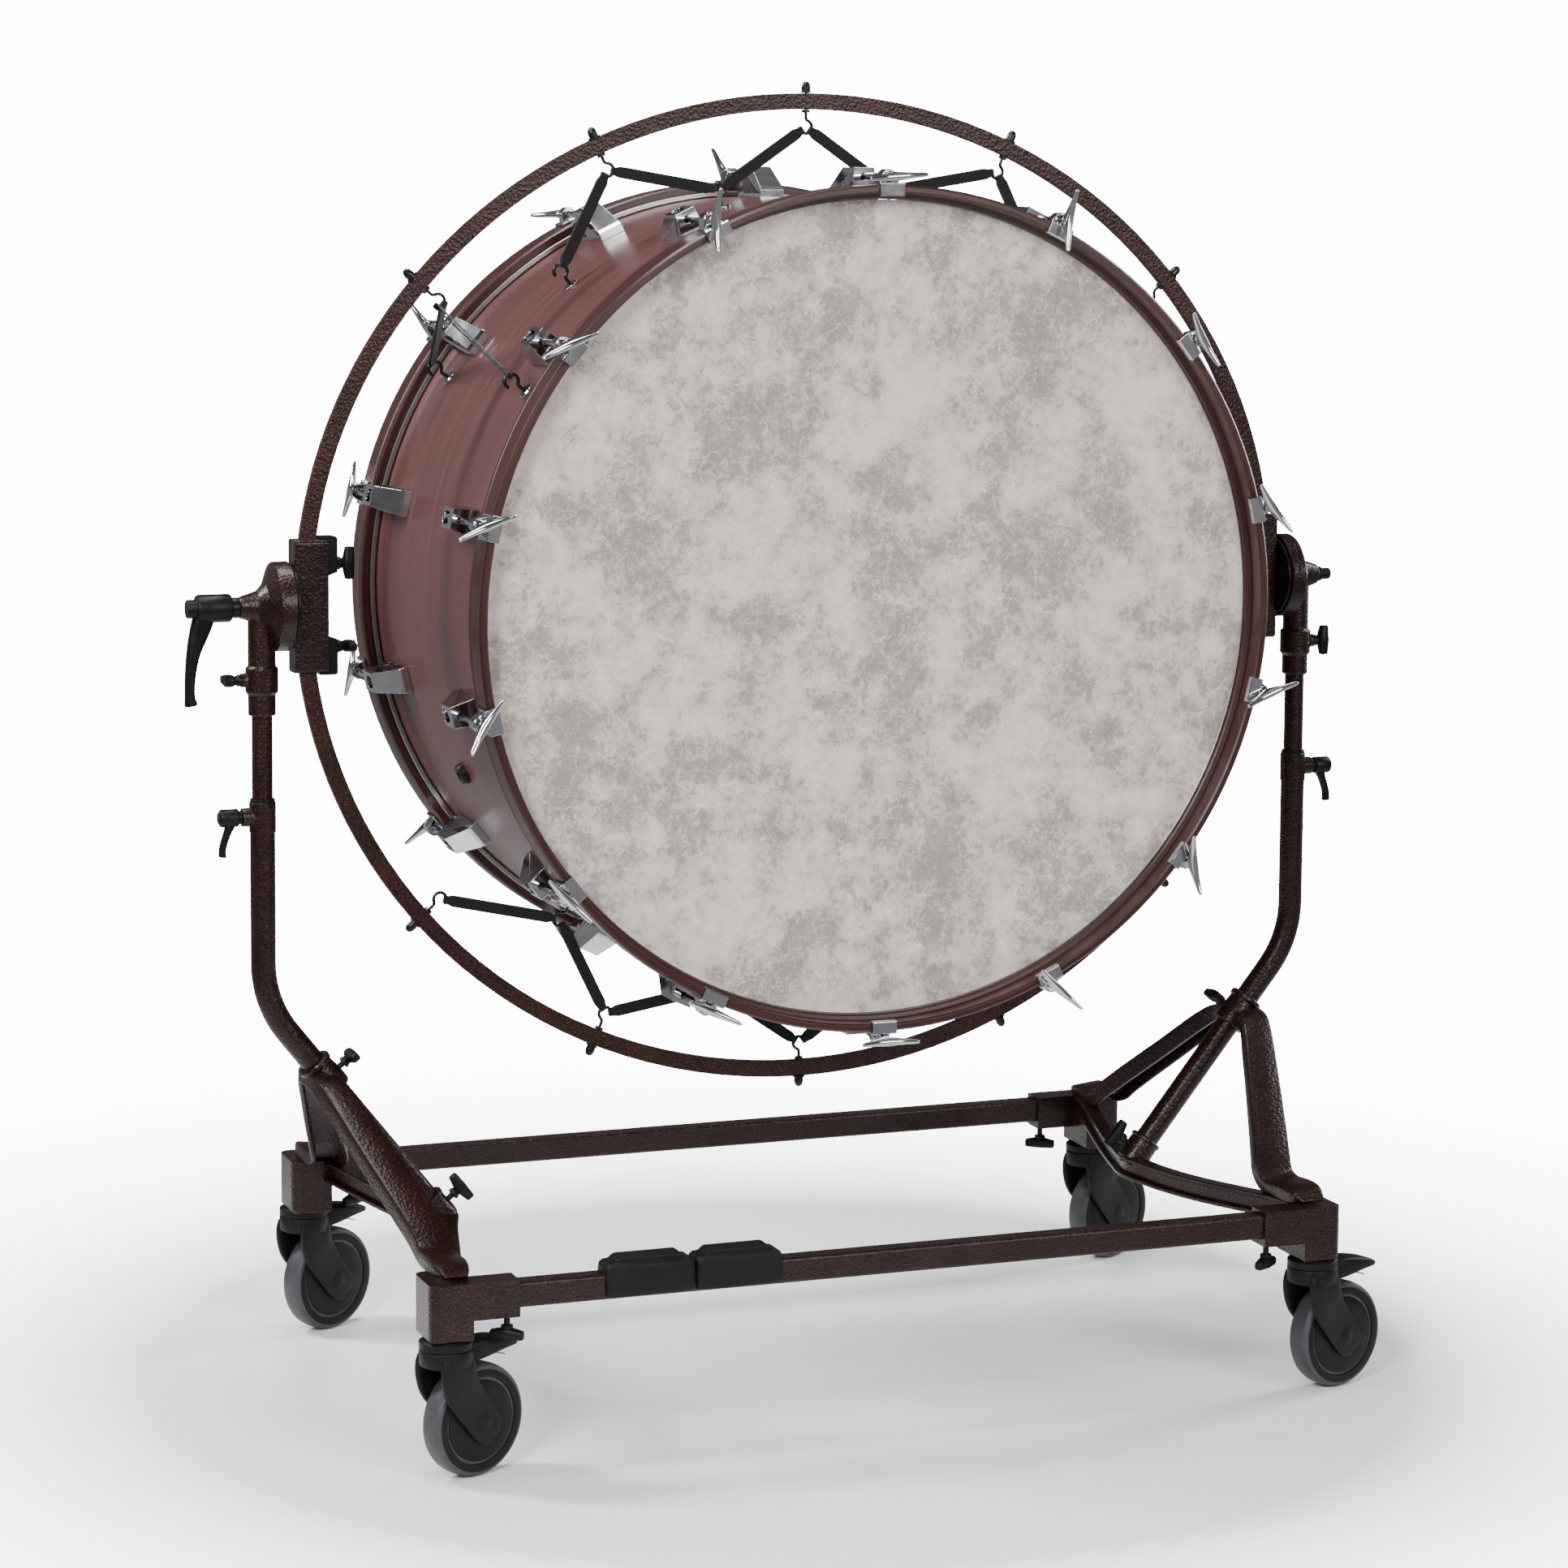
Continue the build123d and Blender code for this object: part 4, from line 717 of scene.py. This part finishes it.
# ================================================================ end castings
def swept(path, shape, up, per=4):
    """Closed profile carried along a path whose rows are x, y, z and the profile's sizes."""
    table = rows(path, per)
    rings = []
    for i, row in enumerate(table):
        before = Vector(table[max(0, i - 1)][:3])
        after = Vector(table[min(len(table) - 1, i + 1)][:3])
        t = (after - before).normalized()
        u = (up - t * up.dot(t)).normalized()
        n = u.cross(t)
        rings.append([Vector(row[:3]) + u * a + n * b for a, b in shape(*row[3:])])
    return skin(rings)


def channel(w, d):
    """Open channel: broad face outwards, two walls turned inwards."""
    wall = 4.5
    return [
        (-w, -d),
        (-w, -d * 0.55),
        (-w, -3.4),
        (-w + 0.9, -1.0),
        (-w + 3.2, 0.0),
        (w - 3.2, 0.0),
        (w - 0.9, -1.0),
        (w, -3.4),
        (w, -d * 0.55),
        (w, -d),
        (w - 1.2, -d - 1.2),
        (w - wall, -d - 1.2),
        (w - wall - 0.6, -d + 1.0),
        (w - wall - 1.4, -min(7.0, d * 0.6)),
        (-w + wall + 1.4, -min(7.0, d * 0.6)),
        (-w + wall + 0.6, -d + 1.0),
        (-w + wall, -d - 1.2),
        (-w + 1.2, -d - 1.2),
    ]


def girder(h, t):
    """Low link: two flanges joined by a thin web."""
    return [
        (-h, -t), (-h + 1, -t - 0.8), (-h + 4, -t - 0.8), (-h + 5.4, -t + 1), (-h + 6.4, -2.6),
        (h - 6.4, -2.6), (h - 5.4, -t + 1), (h - 4, -t - 0.8), (h - 1, -t - 0.8), (h, -t),
        (h, t), (h - 1, t + 0.8), (h - 4, t + 0.8), (h - 5.4, t - 1), (h - 6.4, 2.6),
        (-h + 6.4, 2.6), (-h + 5.4, t - 1), (-h + 4, t + 0.8), (-h + 1, t + 0.8), (-h, t),
    ]


arch = [
    (517, -318, 228, 13, 4.0),
    (517, -313, 233.5, 17, 8.0),
    (516.5, -300, 238.4, 20, 13.0),
    (516, -282, 240.2, 21.5, 15.5),
    (515.5, -262, 239.2, 22, 15.5),
    (514.5, -246, 238.6, 22, 15.0),
    (514, -235, 242.5, 22, 17.0),
    (515, -226, 250.5, 22, 20.0),
    (520, -211, 265.0, 21.6, 21.5),
    (533, -177, 292.0, 20.8, 22.0),
    (552, -127, 330.0, 19.4, 22.0),
    (568, -83, 364.0, 18.2, 22.0),
    (575, -63, 378.0, 17.6, 21.0),
    (579.5, -47, 387.0, 17.2, 19.0),
    (582, -30, 391.0, 17, 17.5),
    (583, 0, 392.0, 17, 17.0),
]
arch += [(x, -y, z, w, d) for x, y, z, w, d in reversed(arch[:-1])]
link = [
    (512, -306, 211.5, 10.5, 9.0),
    (506, -282, 211.0, 11.5, 9.0),
    (499, -252, 209.5, 12.5, 8.5),
    (484, -196, 205.5, 13, 8.0),
    (464, -122, 201.5, 13, 8.0),
    (449, -66, 201.0, 13, 8.0),
    (440, -34, 202.5, 13, 8.5),
    (434, -14, 204.0, 13, 9.0),
    (432, 0, 204.5, 13, 9.0),
]
link += [(x, -y, z, h, t) for x, y, z, h, t in reversed(link[:-1])]


def slant_frame(z):
    """Frame on the slanted tube: Z along the tube upwards, X towards its clamp screw."""
    along = Vector((sin(SLANT), 0, cos(SLANT)))
    across = SLOPE_UP
    m = Matrix((across, along.cross(across), along)).transposed().to_4x4()
    m.translation = on_slant(z)
    return m


upper_socket = spun(
    [
        (14.25, -17), (18.6, -17), (19.8, -15.4), (20.2, -8), (19.6, 4), (18.4, 13), (18.2, 17), (19.6, 18),
        (20.4, 19.6), (20.4, 23.2), (19.2, 25), (16.4, 25.6), (14.25, 25.6),
    ],
    40,
)
lower_socket = spun(
    [
        (14.25, -17.5), (16.6, -17.5), (18.4, -16), (19.0, -10), (18.2, 6), (18.0, 13),
        (19.4, 14.4), (19.4, 17), (18.2, 18.4), (14.25, 18.4),
    ],
    40,
)
boss_profile = [(0, 12), (8.4, 12), (8.8, 13), (8.2, 15.2), (7.4, 16.4), (3.6, 16.6), (3.6, 14), (0, 14)]
boss = moved(spun(boss_profile, 24), turn("Y", 90))
casting = join(
    swept(arch, channel, V(1, 0, 0.12)),
    swept(link, girder, V(0, 0, 1)),
    moved(join(upper_socket, boss), slant_frame(384)),
    moved(join(lower_socket, boss), slant_frame(221)),
)
for side, matrix in (("right", Matrix.Identity(4)), ("left", MIRROR)):
    piece = solid(f"casting_{side}", *moved(casting, matrix), HAMMERED, "base", sharp=24)
    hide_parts(f"end_casting_{side}")

# ================================================================ foot pads
PAD_Y = -315.2


def pad_skin(table, y, power, count):
    """A block with rounded edges along the bar, from (x, half width, low, high) rows."""
    return skin(
        [
            oval(V(x, y, (low + high) / 2), V(0, 1, 0), V(0, 0, 1), w, (high - low) / 2, power, count)
            for x, w, low, high in table
        ]
    )


pads = []
for a, b in ((-350.6, -248.0), (-246.0, -146.0)):
    ends = ((0, 15.6, 197, 224), (1.2, 17.4, 193.5, 228), (5, 18.6, 192, 230.6))
    body = [(a + d, w, low, high) for d, w, low, high in ends]
    body += [(b - d, w, low, high) for d, w, low, high in reversed(ends)]
    pads.append(pad_skin(body, PAD_Y, 7, 36))
    top = [(a + 6, 13.0, 226, 228), (a + 11, 15.4, 226, 231.4)]
    top += [(b - 10, 15.4, 226, 231.4), (b - 6, 13.0, 226, 228)]
    pads.append(pad_skin(top, PAD_Y, 7, 28))
    for y in (PAD_Y - 10, PAD_Y, PAD_Y + 10):
        ridge_ends = ((11, 1.4, 230, 231.8), (13, 2.4, 230, 234.2), (17, 2.9, 230, 236.4))
        ridge = [(a + d, w, low, high) for d, w, low, high in ridge_ends]
        ridge += [(b - d, w, low, high) for d, w, low, high in reversed(ridge_ends)]
        pads.append(pad_skin(ridge, y, 4, 20))
pad_piece = solid("pads", *join(*pads), RUBBER, "base", sharp=40)
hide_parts("foot_pads")

# ================================================================ casters
def caster_frame(key):
    x, y, heading = CASTERS[key]
    return shift(x, y, 0) @ turn("Z", heading)


housing = spun(
    [
        (5.1, 129.5), (26.6, 129.5), (28.8, 130.6), (29.5, 133),
        (29.5, 146.4), (28.9, 147.9), (27.6, 148.6), (5.1, 148.6),
    ],
    56,
)
arm_rows = [
    (-1, 141, 21, 25.6, 15.5, 2.6),
    (-1, 131, 23, 27.4, 16.5, 2.8),
    (0, 119, 23.5, 27.2, 17, 3.2),
    (4, 106, 23.5, 26.0, 17, 4.0),
    (13, 93, 22.6, 23.8, 16.9, 5.0),
    (25, 78, 21.6, 21.8, 16.6, 6.0),
    (38, 62.5, 21, 20.6, 16.4, 6.0),
    (46, 52.8, 19.6, 19.8, 16.2, 6.0),
    (51.5, 46.2, 16, 19.0, 16.0, 5.0),
    (55, 42, 9, 18.0, 16.0, 4.0),
]
dense = rows(arm_rows, 3)
arms = []
for face in (-1, 1):
    rings = []
    for i, (x, z, half, outer, inner, power) in enumerate(dense):
        x0, z0 = dense[max(0, i - 1)][:2]
        x1, z1 = dense[min(len(dense) - 1, i + 1)][:2]
        t = V(x1 - x0, 0, z1 - z0).normalized()
        w = V(-t.z, 0, t.x)
        centre = V(x, face * (outer + inner) / 2, z)
        rings.append(oval(centre, w, V(0, face, 0), half, (outer - inner) / 2, power, 36))
    arms.append(skin(rings))
    boss_disc = spun([(0, 15.6), (10.5, 15.6), (10.5, 20.9), (9.6, 21.5), (0, 21.6)], 36, "Y")
    facing = turn("Z", 180) if face < 0 else Matrix.Identity(4)
    arms.append(moved(boss_disc, shift(TRAIL, 0, WHEEL_R) @ facing))
axle = moved(spun([(0, -16), (5.0, -16), (5.0, 16), (0, 16)], 24, "Y"), shift(TRAIL, 0, WHEEL_R))
fork = join(housing, *arms, axle)

disc_profile = [
    (5.06, -13.6), (12, -14.2), (30, -14.6), (43.6, -14.2),
    (44.6, -13.6), (44.8, -9.0), (46.8, -9.0), (46.9, -11),
    (46.9, 11), (46.8, 9.0), (44.8, 9.0), (44.6, 13.6),
    (43.6, 14.2), (30, 14.6), (12, 14.2), (5.06, 13.6),
]
disc = moved(spun(disc_profile, 72, "Y"), shift(TRAIL, 0, WHEEL_R))
collar = moved(
    join(
        spun([(47.5, -12.4), (48.0, -14.6), (55.2, -15.2), (56.2, -14.7), (56.2, -12), (47.3, -12)], 72, "Y"),
        spun([(47.3, 12), (56.2, 12), (56.2, 14.7), (55.2, 15.2), (48.0, 14.6), (47.5, 12.4)], 72, "Y"),
    ),
    shift(TRAIL, 0, WHEEL_R),
)
tread = moved(
    spun(
        [
            (47.2, -12.6), (55.9, -14.3), (57.0, -14.6), (59.2, -13.6), (60.9, -11.6),
            (61.9, -8.6), (62.35, -4.5), (62.5, 0), (62.35, 4.5), (61.9, 8.6),
            (60.9, 11.6), (59.2, 13.6), (57.0, 14.6), (55.9, 14.3), (47.2, 12.6),
        ],
        96,
        "Y",
    ),
    shift(TRAIL, 0, WHEEL_R),
)
pedal_rows = [
    (26.5, 10, 147, 131),
    (29, 11.6, 150, 129),
    (35, 13.6, 152.2, 128),
    (45, 15.4, 153.0, 129.5),
    (58, 16.2, 152.2, 132),
    (72, 16.0, 149.6, 134.6),
    (84, 14.6, 146.4, 136),
    (91, 12.4, 143.6, 136.4),
    (94.4, 9, 141.8, 137.2),
    (95.2, 5, 140.6, 138.4),
]
pedal = skin(
    [
        oval(V(x, 0, (top + low) / 2), V(0, 1, 0), V(0, 0, 1), w, (top - low) / 2, 4.5, 32)
        for x, w, top, low in rows(pedal_rows, 3)
    ]
)
pivot = moved(spun([(0, -16.3), (3.0, -16.3), (3.0, 16.3), (0, 16.3)], 20, "Y"), shift(24, 0, 138))
tab = skin(
    [
        oval(V(x, -6, z), V(0, 1, 0), V(0, 0, 1), 5, 0.9, 6, 16)
        for x, z in ((60, 132.6), (66, 131.4), (73, 128.6), (76, 128.2))
    ]
)

for key in CASTERS:
    at = caster_frame(key)
    for name, shape, look, body, node in (
        ("fork", fork, CASTER, "caster", "caster_fork"),
        ("wheel_disc", disc, CASTER, "wheel", "wheel_hub"),
        ("tread", tread, TYRE, "wheel", "tyre"),
        ("pedal", join(pedal, pivot), CASTER, "pedal", "brake_pedal"),
    ):
        piece = solid(f"{name}_{key}", *moved(shape, at), look, f"{body}_{key}", sharp=40)
        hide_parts(f"{node}_{key}")
    flank = solid(f"wheel_flank_{key}", *moved(collar, at), CASTER, f"wheel_{key}", sharp=40)
    lip = solid(f"pedal_tab_{key}", *moved(tab, at), STEEL, f"pedal_{key}", sharp=40)

# ================================================================ straps
def ring_point(angle, inset=0.0):
    s = sin(radians(angle))
    c = cos(radians(angle))
    reach = 1 / sqrt((s / 611) ** 2 + (c / 578) ** 2)
    x = reach * s
    z = reach * c
    normal = atan2(x / 611**2, z / 578**2)
    return V(x - inset * sin(normal), 0, AXIS_Z + z - inset * cos(normal))


def eye_point(angle, y=0.0):
    return V(478 * sin(radians(angle)), y, AXIS_Z + 478 * cos(radians(angle)))


# Outline of the webbing: share of the half width, share of the thickness.
WEB_SECTION = (
    (-1, -0.55), (-1, 0.55), (-0.5, 0.68), (0, 0.72), (0.5, 0.68), (1, 0.55), (1, -0.55), (0, -0.6),
)


def strap(outer, inner, across, half=6.5, twist=0.0):
    """Closed webbing loop round two wires: full width between them, gathered at each end."""
    along = (inner - outer).normalized()
    length = (inner - outer).length
    wide = (across - along * across.dot(along)).normalized()
    side = wide.cross(along)
    r = 3.15
    steps = 34
    line = []
    for i in range(steps + 1):
        line.append((length * i / steps, r))
    for i in range(1, 12):
        t = pi / 2 - pi * i / 12
        line.append((length + r * cos(t), r * sin(t)))
    for i in range(steps + 1):
        line.append((length * (1 - i / steps), -r))
    for i in range(1, 12):
        t = -pi / 2 - pi * i / 12
        line.append((r * cos(t), r * sin(t)))
    n = len(line)
    verts, uvs, faces = [], [], []
    gone = 0.0
    for i, (a, b) in enumerate(line):
        near = min(max(a, 0), max(length - a, 0))
        t = min(1.0, near / 9)
        t = t * t * (3 - 2 * t)
        h = 4.2 + (half - 4.2) * t
        pinch = 1.0 - 0.5 * min(1.0, near / 14)
        prev = line[i - 1]
        nxt = line[(i + 1) % n]
        d = Vector((nxt[0] - prev[0], nxt[1] - prev[1])).normalized()
        out2 = Vector((-d.y, d.x))
        gone += hypot(a - prev[0], b - prev[1]) if i else 0.0
        spin = twist * a / length
        w = wide * cos(spin) + side * sin(spin)
        s2 = side * cos(spin) - wide * sin(spin)
        for wf, tf in WEB_SECTION:
            p = outer + along * (a + out2.x * tf) + s2 * (b * pinch + out2.y * tf) + w * (h * wf)
            verts.append(p)
            uvs.append((gone * MM, h * wf * MM))
    m = 8
    for i in range(n):
        j = (i + 1) % n
        for k in range(m):
            l = (k + 1) % m
            faces.append((i * m + k, j * m + k, j * m + l, i * m + l))
    return verts, faces, uvs


strap_pairs, strap_uvs = [], []
for side in (1, -1):
    for hook_angle, eye_angle in (
        (0, 12.9),
        (26.2, 12.9),
        (26.2, 38.6),
        (128.0, 141.4),
        (153.8, 141.4),
        (153.8, 167.1),
        (180, 167.1),
    ):
        a = ring_point(side * hook_angle, 39.0)
        b = eye_point(side * eye_angle)
        pull = (b - a).normalized()
        v, f, uv = strap(a + pull * 7.5, b - pull * 8.0, pull.cross(V(0, 1, 0)))
        strap_pairs.append((v, f))
        strap_uvs += uv
    for y in (-150.0, 150.0):
        a = ring_point(side * 52.2, 39.0)
        b = eye_point(side * 57.5, y)
        level = V((b - a).x, 0, (b - a).z).normalized()
        bearing = Matrix.Rotation(radians(30 if y < 0 else -30), 3, "Y") @ level
        face = bearing.cross(V(0, 1, 0)) if y > 0 else V(0.34, 0.94, 0)
        v, f, uv = strap(a + bearing * 7.5, b - level * 8.0, face)
        strap_pairs.append((v, f))
        strap_uvs += uv
strap_piece = solid("strap_loops", *join(*strap_pairs), WEBBING, "tilt_frame", uvs=strap_uvs, sharp=60)
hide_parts("straps")

# ================================================================ stage
CAMERA_TURN = radians(-20.05)
CAMERA_RISE = radians(5.82)
CAMERA_BACK = Vector(
    (sin(CAMERA_TURN) * cos(CAMERA_RISE), -cos(CAMERA_TURN) * cos(CAMERA_RISE), sin(CAMERA_RISE))
)
CAMERA_TARGET = Vector((-0.10991, 0, 0.925))
camera_data = bpy.data.cameras.new("camera")
camera = bpy.data.objects.new("camera", camera_data)
bpy.context.scene.collection.objects.link(camera)
forward = -CAMERA_BACK
right = forward.cross(Vector((0, 0, 1))).normalized()
above = right.cross(forward)
roll = radians(0.31)
right2 = right * cos(roll) + above * sin(roll)
above2 = above * cos(roll) - right * sin(roll)
matrix = Matrix((right2, above2, CAMERA_BACK)).transposed().to_4x4()
matrix.translation = DRUM + CAMERA_TARGET + CAMERA_BACK * 4.8612
camera.matrix_world = matrix
camera_data.sensor_fit = "HORIZONTAL"
camera_data.sensor_width = 36.0
camera_data.lens = 95.986
camera_data.shift_x = 0.04459
camera_data.shift_y = -0.12205
camera_data.clip_end = 60
bpy.context.scene.camera = camera

floor_mesh = bpy.data.meshes.new("floor")
floor_mesh.from_pydata([(-14, -14, 0), (14, -14, 0), (14, 14, 0), (-14, 14, 0)], [], [(0, 1, 2, 3)])
floor = bpy.data.objects.new("floor", floor_mesh)
bpy.context.scene.collection.objects.link(floor)
floor_look = Graph("floor_look")
spread = floor_look.node("ShaderNodeVectorMath", {0: floor_look.coord.outputs["Object"]}, operation="LENGTH")
fade = floor_look.grey(spread.outputs["Value"], 0.75, 1.75, 1.0, 0.0)
floor_tone = floor_look.noise(floor_look.coord.outputs["Object"], 1.5, 2)
floor_look.tree.links.new(fade, floor_look.shader.inputs["Alpha"])
floor_colour = floor_look.ramp(floor_tone, (0.2, (0.93, 0.93, 0.93)), (0.8, (0.95, 0.95, 0.95)))
floor_mesh.materials.append(floor_look.finish(color=floor_colour, rough=0.9, spec=0.1))

world = bpy.data.worlds.new("studio")
bpy.context.scene.world = world
world.use_nodes = True
tree = world.node_tree
background = tree.nodes["Background"]
ray = tree.nodes.new("ShaderNodeLightPath")
place = tree.nodes.new("ShaderNodeTexCoord")
split = tree.nodes.new("ShaderNodeSeparateXYZ")
tree.links.new(place.outputs["Generated"], split.inputs[0])
ramp = tree.nodes.new("ShaderNodeValToRGB")
tree.links.new(split.outputs[2], ramp.inputs[0])
stops = ((0.0, 0.30), (0.18, 0.14), (0.40, 0.08), (0.50, 0.03), (0.62, 0.05), (0.80, 0.12), (1.0, 0.40))
while len(ramp.color_ramp.elements) < len(stops):
    ramp.color_ramp.elements.new(0.5)
for element, (at, value) in zip(ramp.color_ramp.elements, stops):
    element.position = at
    element.color = (value, value, value * 1.02, 1)
choose = tree.nodes.new("ShaderNodeMix")
choose.data_type = "RGBA"
tree.links.new(ray.outputs["Is Camera Ray"], choose.inputs[0])
tree.links.new(ramp.outputs[0], choose.inputs[6])
choose.inputs[7].default_value = (14.0, 14.0, 14.0, 1)
tree.links.new(choose.outputs[2], background.inputs[0])
background.inputs[1].default_value = 1.0


def softbox(name, place_at, aim, width, height, power):
    light = bpy.data.lights.new(name, "AREA")
    light.shape = "RECTANGLE"
    light.size = width
    light.size_y = height
    light.energy = power
    lamp = bpy.data.objects.new(name, light)
    lamp.location = place_at
    lamp.rotation_euler = (Vector(aim) - Vector(place_at)).to_track_quat("-Z", "Y").to_euler()
    bpy.context.scene.collection.objects.link(lamp)


softbox("key_left", (-3.0, -3.6, 3.0), (0, 0, 0.9), 1.3, 1.9, 235)
softbox("fill_front", (1.8, -5.2, 2.8), (0, 0, 0.8), 2.2, 2.0, 190)
softbox("rim_right", (3.2, 0.6, 2.0), (0, 0, 0.9), 0.5, 2.4, 80)
softbox("top", (-0.3, 0.2, 3.8), (0, 0, 0.9), 2.6, 0.7, 90)
softbox("back_left", (-2.6, 1.2, 3.1), (0, 0, 1.2), 0.5, 1.6, 150)
